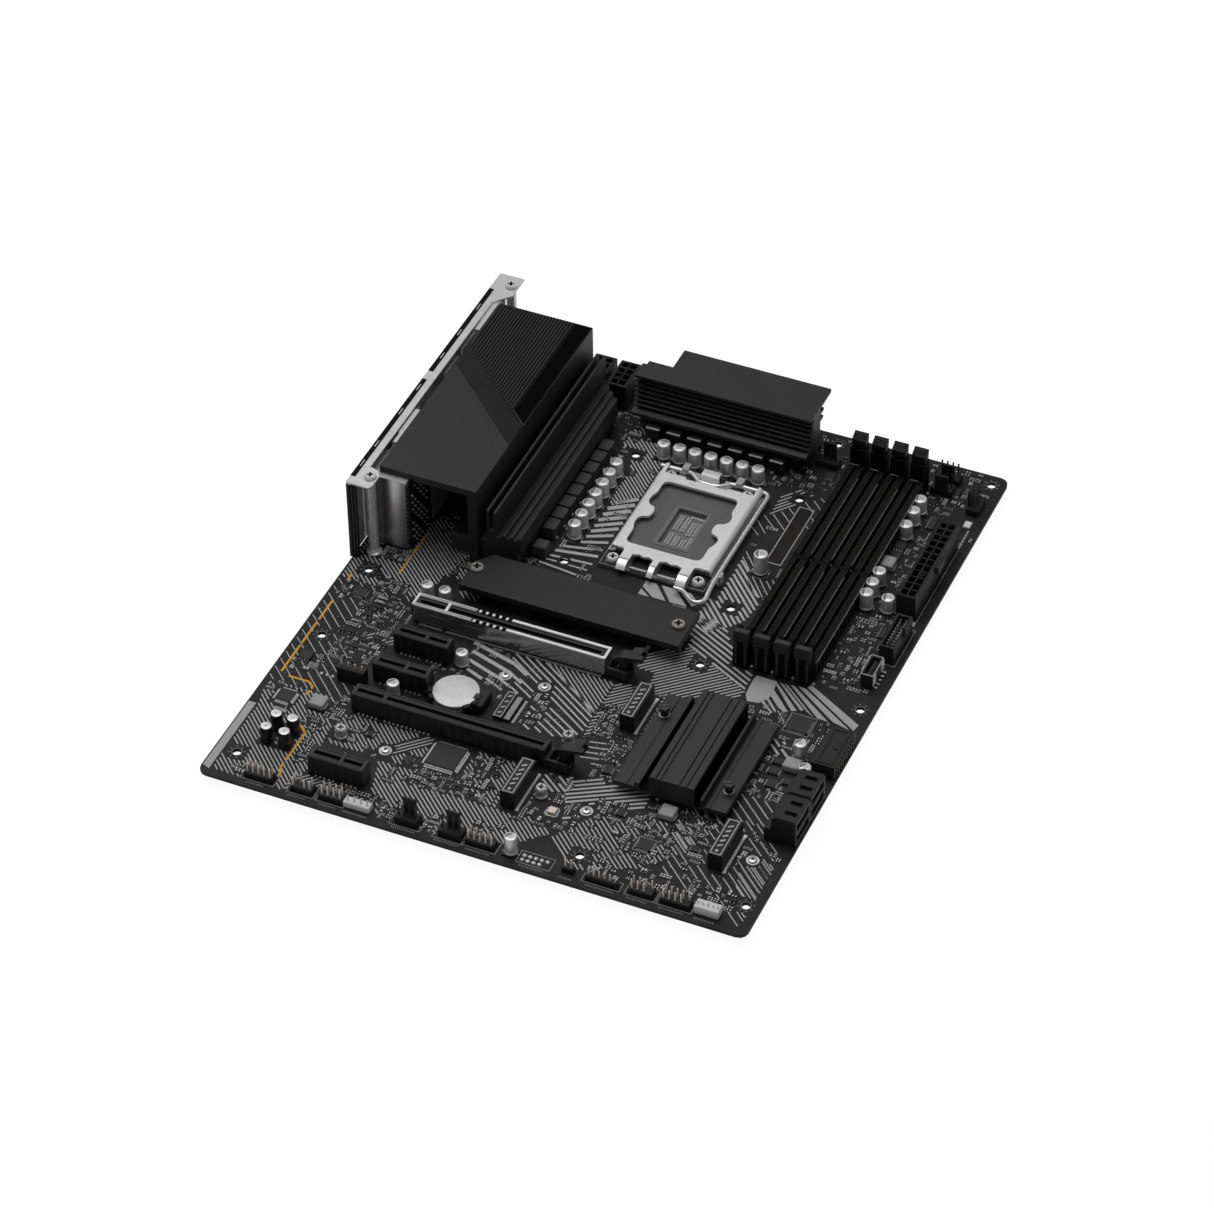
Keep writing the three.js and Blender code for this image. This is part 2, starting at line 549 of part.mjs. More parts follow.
// (x, z)
const LATCH_HOOK = [
  [135.6, 5.2], [138.6, 5.2], [140.4, 8.6], [142.2, 12.4], [148.4, 14.4], [148.0, 15.7],
  [141.4, 14.5], [137.8, 13.8], [135.2, 12.2], [135.2, 10.9], [137.6, 10.7], [137.2, 8.2],
];
const LATCH_TAB = [
  [141.6, 12.6], [147.4, 14.4], [148.6, 17.2], [147.2, 17.6], [146.2, 15.6], [141.4, 14.2],
];

// round foot on its pin, hook over the card's heel and a thumb tab
const slotLatch = (y) =>
  union([
    cylinderY(137, 5.2, y - 2.6, y + 2.6, 1.9, 12),
    prismY(LATCH_HOOK, y - 2.6, y + 2.6),
    prismY(LATCH_TAB, y + 0.6, y + 5.2),
  ]);

// number, slot position, shelled
for (const [number, position, shelled] of [[1, 5, true], [2, 2, false]]) {
  const y = slotY(position);
  piece(`pcie_x16_slot_${number}`, x16Slot(y, shelled), LOOKS.blackPlastic);
  if (shelled) piece(`pcie_slot_${number}_shell`, slotShell(y), LOOKS.steel);
  piece(`pcie_latch_${number}`, slotLatch(y), LOOKS.blackPlastic);
}
const x1Slot = (position) => slotBody(slotY(position), X1_END, SLOT_HALF, SLOT_TOP);
numberedPieces("pcie_x1_slot", [4, 3, 0], x1Slot, LOOKS.blackPlastic);

// ---- memory slots, along Y ----
const DIMM_X0 = 181.4;
const DIMM_PITCH = 9.32;
const DIMM_Y0 = 145.9;
const DIMM_Y1 = 285.6;
const DIMM_HALF = 3.6;
const DIMM_RAIL = 9.6; // top of the long rails
const DIMM_TOWER = 20.7; // top of the fixed end tower
const CARD_HALF = 0.85; // half width of the card groove
const PIVOT_Y = 282.9; // latch pin
const PIVOT_Z = 5.2;
const LATCH_HALF = 1.75;
const LATCH_TOP = 24.2;

// tapered tower, wide at the foot: a profile in (x, z)
const towerProfile = (x, foot, topHalf, top) => [
  [x - DIMM_HALF, foot], [x + DIMM_HALF, foot], [x + topHalf, top], [x - topHalf, top],
];

function dimmSlot(x) {
  const housing = union([
    box(x - DIMM_HALF, x + DIMM_HALF, DIMM_Y0, 279.6, SEAT, DIMM_RAIL),
    prismY(towerProfile(x, 5, 3.2, DIMM_TOWER), DIMM_Y0, DIMM_Y0 + 5.2),
    prismY(towerProfile(x, SEAT, 3.3, 18.7), 279.2, DIMM_Y1),
  ]);
  return cut(housing, [
    // latch bay, open to the top and to the outside
    box(x - 2.1, x + 2.1, 280.4, DIMM_Y1 + 1, 3, 20),
    // card groove on each side of the key
    box(x - CARD_HALF, x + CARD_HALF, DIMM_Y0 + 1.3, 211.6, 4.6, 30),
    box(x - CARD_HALF, x + CARD_HALF, 213.8, 282, 4.6, 30),
  ]);
}

// (y from the pin, z)
const DIMM_LATCH_ARM = [
  [-1.5, PIVOT_Z], [1.5, PIVOT_Z], [1.4, 12], [1.8, 19.8], [-1.7, 19.8], [-1.7, 17.0],
  [-2.2, 16.6], [-2.2, 15.6], [-1.5, 15.2],
];
const DIMM_LATCH_HEAD = [
  [-2.2, 19.2], [1.6, 19.2], [1.8, LATCH_TOP], [0.2, LATCH_TOP], [0.2, 23.2],
  [-1.0, 23.2], [-1.0, 22.2], [-2.2, 22.2],
];
const fromPivot = (points) => points.map(([y, z]) => [PIVOT_Y + y, z]);

// round foot on the pin, slim arm with a claw, stepped thumb head above the bay
function dimmLatch(x) {
  const latch = union([
    cylinderX(PIVOT_Y, PIVOT_Z, x - LATCH_HALF, x + LATCH_HALF, 1.9, 12),
    prismX(fromPivot(DIMM_LATCH_ARM), x - LATCH_HALF, x + LATCH_HALF),
    prismX(fromPivot(DIMM_LATCH_HEAD), x - 2.7, x + 2.7),
  ]);
  return latch.subtract(
    box(x - CARD_HALF, x + CARD_HALF, PIVOT_Y - 5, PIVOT_Y - 1.9, 14.2, 19.2),
  );
}

for (let i = 0; i < 4; i++) {
  const x = DIMM_X0 + i * DIMM_PITCH;
  piece(`dimm_slot_${i + 1}`, dimmSlot(x), LOOKS.blackPlastic);
  piece(`dimm_latch_${i + 1}`, dimmLatch(x), LOOKS.latchPlastic);
}

// ---- power connectors ----
const HOUSING_WALL = 1;
const CAVITY_MARGIN = 0.35; // each cavity is drawn in by this much from its cell
const CAVITY_FLOOR = 5;

// grid of open-topped cavities over an area
function cavities(area, top, columns, rows) {
  const [x0, x1, y0, y1] = inset(area, HOUSING_WALL);
  const width = (x1 - x0) / columns;
  const length = (y1 - y0) / rows;
  const tools = [];
  for (let i = 0; i < columns; i++)
    for (let j = 0; j < rows; j++) {
      const cell = [x0 + i * width, x0 + (i + 1) * width, y0 + j * length, y0 + (j + 1) * length];
      tools.push(box(...inset(cell, CAVITY_MARGIN), CAVITY_FLOOR, top + 1));
    }
  return tools;
}

function epsConnector(x) {
  const area = [x, x + 9.6, 283, 300.8];
  return cut(box(...area, SEAT, 15), cavities(area, 15, 2, 4));
}
numberedPieces("eps_connector", [47.8, 59.6], epsConnector, LOOKS.blackPlastic);

function atxConnector() {
  const area = [229.5, 238.5, 202, 254.6];
  const top = 13.6;
  const ledge = prismX([[224.6, 9.6], [232.2, 9.6], [232.2, top], [224.6, top]], 238, 240.2);
  return cut(union([box(...area, SEAT, top), ledge]), cavities(area, top, 2, 12));
}
piece("atx_connector", atxConnector(), LOOKS.blackPlastic);

// ---- data and header connectors ----
function usb3Header() {
  const area = [233.2, 240, 172.4, 194.6];
  const keySlot = box(238, 241, 181, 186, 6, 12);
  return cut(box(...area, SEAT, 10.4), [box(...inset(area, 1.1), 4, 12), keySlot]);
}
function usbCHeader() {
  const area = [232, 237.6, 154.6, 167.4];
  return cut(box(...area, SEAT, 8.8), [box(...inset(area, 1), 3.6, 10)]);
}
// opens towards +X
const usb3EdgeHeader = () =>
  cut(box(232.6, 243.2, 97, 121, SEAT, 8.6), [box(236, 244, 98.4, 119.6, 3.2, 7.2)]);
piece("usb3_header", usb3Header(), LOOKS.blackPlastic);
piece("usb_c_header", usbCHeader(), LOOKS.headerShell);
piece("usb3_edge_header", usb3EdgeHeader(), LOOKS.blackPlastic);

// two stacked ports that open towards +X, the upper one shorter
function sataPorts(y) {
  const body = union([
    box(229.4, 243.2, y, y + 15.4, SEAT, 7.8),
    box(232.6, 243.2, y, y + 15.4, 7.6, 14.2),
  ]);
  return cut(body, [3.2, 9.2].map((z) => box(236.4, 244, y + 1.2, y + 14.2, z, z + 3.6)));
}
numberedPieces("sata_ports", [54.6, 70.8], sataPorts, LOOKS.blackPlastic);

// drive connector that opens towards -X, placed by its lower corner
const m2Connector = ([x, y]) =>
  cut(box(x, x + 6.6, y, y + 22, SEAT, 9.9), [box(x - 1, x + 3.6, y + 1, y + 21, 6.4, 7.8)]);
const M2_CONNECTORS = [[123.4, 30.4], [149.8, 91.2], [214.8, 30.4]];
numberedPieces("m2_connector", M2_CONNECTORS, m2Connector, LOOKS.blackPlastic);

// ---- real-time clock cell ----
const CELL = [80, 81];

function batteryHolder() {
  const pocket = cylinderZ(...CELL, 3, 6, 10.35, 20);
  const cup = cut(cylinderZ(...CELL, SEAT, 5, 11.4, 20), [pocket, box(60, 74, 70, 92, 3, 7)]);
  return cup.add(box(87.8, 93.6, 76.4, 86.6, SEAT, 5.6).subtract(pocket));
}
piece("battery_holder", batteryHolder(), LOOKS.blackPlastic);
piece("coin_cell", cylinderZ(...CELL, 3.3, 6.5, 10, 24), LOOKS.cell);

export default root;
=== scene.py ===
# A full-size computer mainboard lying flat, component side up, on a pale floor.
# Lengths are millimetres in board coordinates: x from the port edge, y from the slot edge,
# z from the laminate's underside. put() turns them into metres in the frame of the CAD.
import math
import random

import bpy
import numpy as np
from mathutils import Matrix, Vector
from mathutils.geometry import tessellate_polygon


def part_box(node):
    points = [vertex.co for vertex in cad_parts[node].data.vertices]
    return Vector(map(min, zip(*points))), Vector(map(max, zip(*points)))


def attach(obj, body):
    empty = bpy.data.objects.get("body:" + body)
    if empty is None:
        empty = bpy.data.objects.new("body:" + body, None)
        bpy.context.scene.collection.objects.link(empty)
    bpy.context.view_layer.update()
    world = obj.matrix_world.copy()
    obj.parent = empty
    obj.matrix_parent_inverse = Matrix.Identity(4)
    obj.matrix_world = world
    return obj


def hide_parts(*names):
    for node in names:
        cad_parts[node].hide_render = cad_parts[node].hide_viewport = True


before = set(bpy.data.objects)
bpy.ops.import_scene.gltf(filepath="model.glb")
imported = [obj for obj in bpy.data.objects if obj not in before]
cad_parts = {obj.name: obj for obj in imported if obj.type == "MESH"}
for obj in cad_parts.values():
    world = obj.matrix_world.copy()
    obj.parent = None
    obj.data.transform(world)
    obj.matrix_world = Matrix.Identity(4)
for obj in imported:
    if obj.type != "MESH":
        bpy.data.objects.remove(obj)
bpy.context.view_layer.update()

CENTRE_X, CENTRE_Y = 121.92, 152.4  # board centre, the origin of the CAD
TOP = 1.6  # upper face of the laminate
PRINT_TOP = TOP + 0.035
SOCKET_X, SOCKET_Y = 124.418, 217.714
SLOT_Y = [20.35 + 20.32 * k for k in range(6)]  # expansion slot positions; 1 is empty
MEMORY_X = (181.4, 190.72, 200.04, 209.36)
random_source = random.Random(20)


# ---------------------------------------------------------------- mesh helpers
def chamfered_cube():
    """Vertices (corner, axis), full size along axis and cut back on the others, and faces."""
    corners = [(x, y, z) for x in (-1, 1) for y in (-1, 1) for z in (-1, 1)]
    verts = [(corner, axis) for corner in corners for axis in range(3)]
    index = {vert: i for i, vert in enumerate(verts)}
    faces = []
    for axis in range(3):
        for side in (-1, 1):
            faces.append([index[c, axis] for c in corners if c[axis] == side])
    for axis in range(3):
        first, second = [k for k in range(3) if k != axis]
        for a in (-1, 1):
            for b in (-1, 1):
                start, end = [c for c in corners if c[first] == a and c[second] == b]
                faces.append([index[start, first], index[end, first],
                              index[end, second], index[start, second]])
    for corner in corners:
        faces.append([index[corner, axis] for axis in range(3)])

    ordered = []  # each face again, its vertices counter-clockwise seen from outside
    for face in faces:
        points = [Vector([corner[i] * (1 if i == axis else 0.8) for i in range(3)])
                  for corner, axis in (verts[k] for k in face)]
        middle = sum(points, Vector()) / len(points)
        right = (points[0] - middle).normalized()
        up = middle.normalized().cross(right)
        angles = [math.atan2((p - middle).dot(up), (p - middle).dot(right)) for p in points]
        ordered.append([face[i] for i in sorted(range(len(face)), key=lambda i: angles[i])])
    return verts, ordered


CUBE_VERTS, CUBE_FACES = chamfered_cube()


def turn(points, cx, cy, degrees):
    if not degrees:
        return points
    c, s = math.cos(math.radians(degrees)), math.sin(math.radians(degrees))
    return [(cx + (x - cx) * c - (y - cy) * s, cy + (x - cx) * s + (y - cy) * c, z)
            for x, y, z in points]


def ring(cx, cy, radius, sides):
    angles = [2 * math.pi * i / sides for i in range(sides)]
    return [(cx + radius * math.cos(a), cy + radius * math.sin(a)) for a in angles]


def rectangle(x0, x1, y0, y1):
    return [(x0, y0), (x1, y0), (x1, y1), (x0, y1)]


def area(loop):
    return sum(a[0] * b[1] - b[0] * a[1] for a, b in zip(loop, loop[1:] + loop[:1])) / 2


def fillet(points, radius, steps_per_corner):
    """The polygon with each corner rounded by about radius."""
    rounded = []
    for i in range(len(points)):
        corner = Vector(points[i])
        to_last = Vector(points[i - 1]) - corner
        to_next = Vector(points[(i + 1) % len(points)]) - corner
        reach = min(radius, to_last.length * 0.45, to_next.length * 0.45)
        start = corner + to_last.normalized() * reach
        end = corner + to_next.normalized() * reach
        for j in range(steps_per_corner + 1):
            t = j / steps_per_corner
            rounded.append(tuple(start * (1 - t) ** 2 + corner * 2 * t * (1 - t) + end * t * t))
    return rounded


def steps(start, stop, pitch):
    while start < stop:
        yield start
        start += pitch


def beside(centre, side, near, far):
    """The span from near to far off centre, on the side -1 or 1."""
    return sorted((centre + side * near, centre + side * far))


def scaled(radius, base, rows):
    """Lathe profile from rows of (share of radius, height above base)."""
    return [(radius * share, base + height) for share, height in rows]


class Mesh:
    """Vertices, faces and the material index of each face, for one object."""

    def __init__(self):
        self.verts, self.faces, self.finishes = [], [], []

    def add(self, verts, faces, finish=0):
        first = len(self.verts)
        self.verts.extend(verts)
        for face in faces:
            self.faces.append(tuple(i + first for i in face))
            self.finishes.append(finish)

    def box(self, x0, x1, y0, y1, z0, z1, chamfer=0.0, finish=0, turned=0.0, about=None):
        """A box with chamfered edges. With x0 above x1 it stays plain."""
        middle = ((x0 + x1) / 2, (y0 + y1) / 2, (z0 + z1) / 2)
        half = ((x1 - x0) / 2, (y1 - y0) / 2, (z1 - z0) / 2)
        cut = min(chamfer, min(half) * 0.9)
        if cut > 0:
            verts = [tuple(middle[i] + corner[i] * (half[i] - (0 if i == axis else cut))
                           for i in range(3)) for corner, axis in CUBE_VERTS]
            faces = CUBE_FACES
        else:
            verts = [(x, y, z) for x in (x0, x1) for y in (y0, y1) for z in (z0, z1)]
            faces = [(0, 1, 3, 2), (4, 6, 7, 5), (0, 4, 5, 1),
                     (2, 3, 7, 6), (0, 2, 6, 4), (1, 5, 7, 3)]
        self.add(turn(verts, *(about or middle[:2]), turned), faces, finish)

    def boxes(self, rows, x=0, y=0):
        """Boxes from rows of box() arguments, shifted by x and y."""
        for x0, x1, y0, y1, *rest in rows:
            self.box(x + x0, x + x1, y + y0, y + y1, *rest)

    def skin(self, verts, sides, finish, capped=True):
        """Join rings of vertices that follow each other."""
        last = len(verts) - sides
        faces = []
        for start in range(0, last, sides):
            for i in range(sides):
                j = (i + 1) % sides
                faces.append((start + i, start + j, start + sides + j, start + sides + i))
        if capped:
            faces.append(tuple(reversed(range(sides))))
            faces.append(tuple(last + i for i in range(sides)))
        self.add(verts, faces, finish)

    def lathe(self, cx, cy, profile, sides=16, finish=0, along_x=False, capped=True):
        """Profile of (radius, height) round z, or round an x axis at y, z = cx, cy."""
        verts = []
        for radius, height in profile:
            for a, b in ring(cx, cy, radius, sides):
                verts.append((height, a, b) if along_x else (a, b, height))
        self.skin(verts, sides, finish, capped)

    def plate(self, outer, holes=(), z0=TOP, z1=PRINT_TOP, finish=0,
              place=lambda x, y, z: (x, y, z)):
        """A flat plate with holes as one closed body; place() moves (x, y, z) elsewhere."""
        loops = [outer if area(outer) > 0 else outer[::-1]]
        loops += [hole if area(hole) < 0 else hole[::-1] for hole in holes]
        points = [p for loop in loops for p in loop]
        count = len(points)
        triangles = []
        for t in tessellate_polygon([[Vector((x, y, 0)) for x, y in loop] for loop in loops]):
            size = area([points[i] for i in t])
            if abs(size) > 1e-9:
                triangles.append(tuple(t) if size > 0 else tuple(reversed(t)))
        faces = [tuple(i + count for i in t) for t in triangles]
        faces += [tuple(reversed(t)) for t in triangles]
        first = 0
        for loop in loops:
            for i in range(len(loop)):
                a, b = first + i, first + (i + 1) % len(loop)
                faces.append((a, b, count + b, count + a))
            first += len(loop)
        self.add([place(x, y, z) for z in (z0, z1) for x, y in points], faces, finish)

    def annulus(self, x, y, outer, inner, sides, z0, z1, finish=0):
        self.plate(ring(x, y, outer, sides), [ring(x, y, inner, sides)], z0, z1, finish)

    def prism(self, points, low, high, axis="y", finish=0):
        """Polygon swept along y, its points (x, z), or along x, its points (y, z)."""
        if axis == "y":
            self.plate(points, [], low, high, finish, lambda a, b, c: (a, low + high - c, b))
        else:
            self.plate(points, [], low, high, finish, lambda a, b, c: (c, a, b))

    def tube(self, path, radius, sides=16, steps_per_leg=5):
        """A round wire along a smooth curve through path."""
        points = [Vector(p) for p in path]
        fine = []
        for i in range(len(points) - 1):
            p0, p1, p2 = points[max(i - 1, 0)], points[i], points[i + 1]
            p3 = points[min(i + 2, len(points) - 1)]
            for j in range(steps_per_leg):
                t = j / steps_per_leg
                fine.append(0.5 * (2 * p1 + (p2 - p0) * t + (2 * p0 - 5 * p1 + 4 * p2 - p3) * t * t
                                   + (3 * p1 - p0 - 3 * p2 + p3) * t ** 3))
        fine.append(points[-1])
        up = Vector((0, 0, 1))
        verts = []
        for i, p in enumerate(fine):
            forward = (fine[min(i + 1, len(fine) - 1)] - fine[max(i - 1, 0)]).normalized()
            up = (up - forward * up.dot(forward)).normalized()
            across = forward.cross(up)
            for k in range(sides):
                a = 2 * math.pi * k / sides
                verts.append(tuple(p + up * (radius * math.cos(a))
                                   + across * (radius * math.sin(a))))
        self.skin(verts, sides, 0)

    def strip(self, start, end, width, z0=TOP, z1=PRINT_TOP, finish=0):
        """A flat bar from start to end."""
        dx, dy = end[0] - start[0], end[1] - start[1]
        length = math.hypot(dx, dy)
        nx, ny = -dy / length * width / 2, dx / length * width / 2
        corners = [(start[0] - nx, start[1] - ny), (end[0] - nx, end[1] - ny),
                   (end[0] + nx, end[1] + ny), (start[0] + nx, start[1] + ny)]
        self.add([(x, y, z) for z in (z0, z1) for x, y in corners], BAR_FACES, finish)


BAR_FACES = [(3, 2, 1, 0), (4, 5, 6, 7), (0, 1, 5, 4), (1, 2, 6, 5), (2, 3, 7, 6), (3, 0, 4, 7)]


def round_edges(obj, width, segments, flat_below, edge_above):
    """Dissolve near-flat faces, then bevel; angles in degrees."""
    flat = obj.modifiers.new("flat", "DECIMATE")
    flat.decimate_type = "DISSOLVE"
    flat.angle_limit = math.radians(flat_below)
    edge = obj.modifiers.new("edge", "BEVEL")
    edge.width = width / 1000
    edge.segments = segments
    edge.limit_method = "ANGLE"
    edge.angle_limit = math.radians(edge_above)


def put(name, mesh, finishes, body="board", bevel=0.0, segments=2, replaces=()):
    """Make the object. finishes names its materials, in slot order."""
    data = bpy.data.meshes.new(name)
    verts = (np.array(mesh.verts, float) - (CENTRE_X, CENTRE_Y, 0)) / 1000
    data.from_pydata(verts.tolist(), [], mesh.faces)
    for finish in finishes.split():
        data.materials.append(materials[finish])
    data.polygons.foreach_set("material_index", mesh.finishes)
    data.polygons.foreach_set("use_smooth", [True] * len(mesh.faces))
    data.validate()
    data.update()
    data.set_sharp_from_angle(angle=math.radians(32))
    obj = bpy.data.objects.new(name, data)
    bpy.context.scene.collection.objects.link(obj)
    if bevel:
        round_edges(obj, bevel, segments, flat_below=0.5, edge_above=40)
    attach(obj, body)
    if replaces:
        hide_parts(*replaces)


# ---------------------------------------------------------------- materials
materials = {}
PER_MM = (1000, 1000, 1000)  # mapping scale that makes texture units millimetres


def rgba(colour):
    return (colour,) * 3 + (1.0,) if isinstance(colour, (int, float)) else (*colour, 1.0)


class Graph:
    """A material whose principled shader is fed by short node chains."""

    def __init__(self, name):
        self.material = bpy.data.materials.new(name)
        materials[name] = self.material
        self.material.use_nodes = True
        self.tree = self.material.node_tree
        self.tree.nodes.clear()
        self.output = self.node("ShaderNodeOutputMaterial")
        self.shader = self.node("ShaderNodeBsdfPrincipled")
        self.tree.links.new(self.shader.outputs[0], self.output.inputs[0])
        self.coordinates = self.node("ShaderNodeTexCoord").outputs["Object"]

    def feed(self, socket, value):
        if isinstance(value, bpy.types.NodeSocket):
            self.tree.links.new(value, socket)
        else:
            socket.default_value = value

    def node(self, kind, **inputs):
        node = self.tree.nodes.new(kind)
        for name, value in inputs.items():
            self.feed(node.inputs[name.replace("_", " ")], value)
        return node

    def shade(self, **inputs):
        for name, value in inputs.items():
            self.feed(self.shader.inputs[name.replace("_", " ")], value)

    def mapped(self, scale=PER_MM, turn_z=0.0):
        return self.node("ShaderNodeMapping", Vector=self.coordinates, Scale=scale,
                         Rotation=(0, 0, turn_z)).outputs[0]

    def noise(self, vector, scale, detail=3.0):
        return self.node("ShaderNodeTexNoise", Vector=vector, Scale=scale, Detail=detail,
                         Roughness=0.55).outputs[0]

    def remap(self, value, low, high, to_low=0.0, to_high=1.0):
        return self.node("ShaderNodeMapRange", Value=value, From_Min=low, From_Max=high,
                         To_Min=to_low, To_Max=to_high).outputs[0]

    def mix(self, factor, first, second):
        node = self.node("ShaderNodeMix")
        node.data_type = "RGBA"
        self.feed(node.inputs[0], factor)
        for i, colour in ((6, first), (7, second)):
            is_link = isinstance(colour, bpy.types.NodeSocket)
            self.feed(node.inputs[i], colour if is_link else rgba(colour))
        return node.outputs[2]

    def math(self, operation, a, b=0.0, c=0.0):
        node = self.node("ShaderNodeMath")
        node.operation = operation
        for socket, value in zip(node.inputs, (a, b, c)):
            self.feed(socket, value)
        return node.outputs[0]

    def bump(self, height, strength, distance):
        """distance is the relief in metres."""
        return self.node("ShaderNodeBump", Height=height, Strength=strength,
                         Distance=distance).outputs[0]


def surface(name, dark, light, rough_low, rough_high, metallic, grain, bump, fine, depth,
            specular=0.5, stretch=(1, 1, 1)):
    """Mottled finish with a fine relief."""
    g = Graph(name)
    vector = g.mapped([1000 * s for s in stretch])
    mottle = g.remap(g.noise(vector, grain, detail=4.0), 0.34, 0.66)
    clouds = g.remap(g.noise(g.mapped(), 0.06, detail=2.0), 0.3, 0.7, to_high=0.35)
    g.shade(Base_Color=g.mix(g.math("MULTIPLY_ADD", mottle, 0.65, clouds), dark, light),
            Roughness=g.remap(g.noise(vector, grain * 0.6), 0.3, 0.7, rough_low, rough_high),
            Normal=g.bump(g.noise(vector, fine, detail=2.0), bump, depth / 1000),
            Metallic=metallic, Specular_IOR_Level=specular, Coat_Roughness=0.12)


def board_mask():
    """Black solder mask: faint tracks that run in different directions from patch to patch."""
    g = Graph("solder_mask")
    straight_vector = g.mapped()
    diagonal_vector = g.mapped(turn_z=math.radians(45))

    def bands(vector, pitch, direction):
        node = g.node("ShaderNodeTexWave", Vector=vector, Scale=0.3142 / pitch)
        node.bands_direction = direction
        return g.remap(node.outputs[1], 0.62, 0.74)

    patch = g.node("ShaderNodeTexVoronoi", Vector=diagonal_vector, Scale=0.07)
    patch.distance = "CHEBYCHEV"
    pick = g.node("ShaderNodeSeparateColor", Color=patch.outputs["Color"])
    kind, filled = pick.outputs[0], pick.outputs[1]
    straight = g.math("MULTIPLY", bands(straight_vector, pitch=0.85, direction="Y"),
                      g.math("LESS_THAN", kind, 0.3))
    diagonal = g.math("MULTIPLY", bands(diagonal_vector, pitch=0.75, direction="X"),
                      g.math("GREATER_THAN", kind, 0.72))
    copper = g.math("MULTIPLY", g.math("LESS_THAN", filled, 0.35), 0.6)
    track = g.math("MAXIMUM", g.math("MAXIMUM", straight, diagonal), copper)
    mottle = g.remap(g.noise(straight_vector, 0.35, detail=5.0), 0.3, 0.7, to_high=0.5)
    relief = g.math("MULTIPLY_ADD", track, 0.8,
                    g.math("MULTIPLY", g.noise(straight_vector, 3.0, detail=2.0), 0.3))
    g.shade(Base_Color=g.mix(g.math("MULTIPLY_ADD", track, 0.5, mottle),
                             (0.0085, 0.0085, 0.0088), (0.021, 0.021, 0.0215)),
            Roughness=g.remap(g.noise(straight_vector, 1.5), 0.3, 0.7, 0.46, 0.6),
            Normal=g.bump(relief, strength=0.35, distance=0.00003),
            Specular_IOR_Level=0.22)


def ink(name, dark, light, rough=0.62, dots=False):
    """Matt print, plain or as a dot screen."""
    g = Graph(name)
    vector = g.mapped()
    tone = g.remap(g.noise(vector, 2.2, detail=4.0), 0.3, 0.7)
    if dots:
        screen = g.node("ShaderNodeTexVoronoi", Vector=g.mapped(turn_z=0.785), Scale=1.35,
                        Randomness=0.0)
        tone = g.math("MULTIPLY_ADD", g.remap(screen.outputs["Distance"], 0.25, 0.4), -0.55,
                      g.math("MULTIPLY_ADD", tone, 0.3, 0.7))
    g.shade(Base_Color=g.mix(tone, dark, light),
            Roughness=g.remap(g.noise(vector, 3.0, detail=2.0), 0.3, 0.7,
                              rough - 0.08, rough + 0.08),
            Normal=g.bump(g.noise(vector, 5.0, detail=2.0), strength=0.2, distance=0.00001),
            Specular_IOR_Level=0.3)


def tinplate_with_painted_reflections():
    """Bright sheet: wide soft light and dark bands across x painted into its colour, painted
    reflections of its folds.
    """
    g = Graph("tinplate_folded")
    x = g.node("ShaderNodeSeparateXYZ", Vector=g.mapped()).outputs[0]
    # painted reflections: a ramp of light and dark bands along x
    reflection_bands = g.node("ShaderNodeValToRGB", Fac=g.remap(x, 5.0 - CENTRE_X, 20.5 - CENTRE_X))
    stops = reflection_bands.color_ramp.elements
    stops[0].position, stops[0].color = 0.0, rgba(0.10)
    stops[1].position, stops[1].color = 1.0, rgba(0.22)
    for place, level in ((0.14, 0.55), (0.3, 0.16), (0.44, 0.24), (0.62, 0.78), (0.74, 0.66),
                         (0.88, 0.3)):
        stops.new(place).color = rgba(level)
    grain = g.noise(g.mapped((4000, 4000, 220)), 1.0)
    g.shade(Base_Color=g.mix(g.remap(grain, 0.3, 0.7, to_high=0.22), reflection_bands.outputs[0], 0.5),
            Roughness=g.remap(grain, 0.3, 0.7, 0.24, 0.36),
            Normal=g.bump(grain, strength=0.12, distance=0.00002),
            Metallic=0.75)


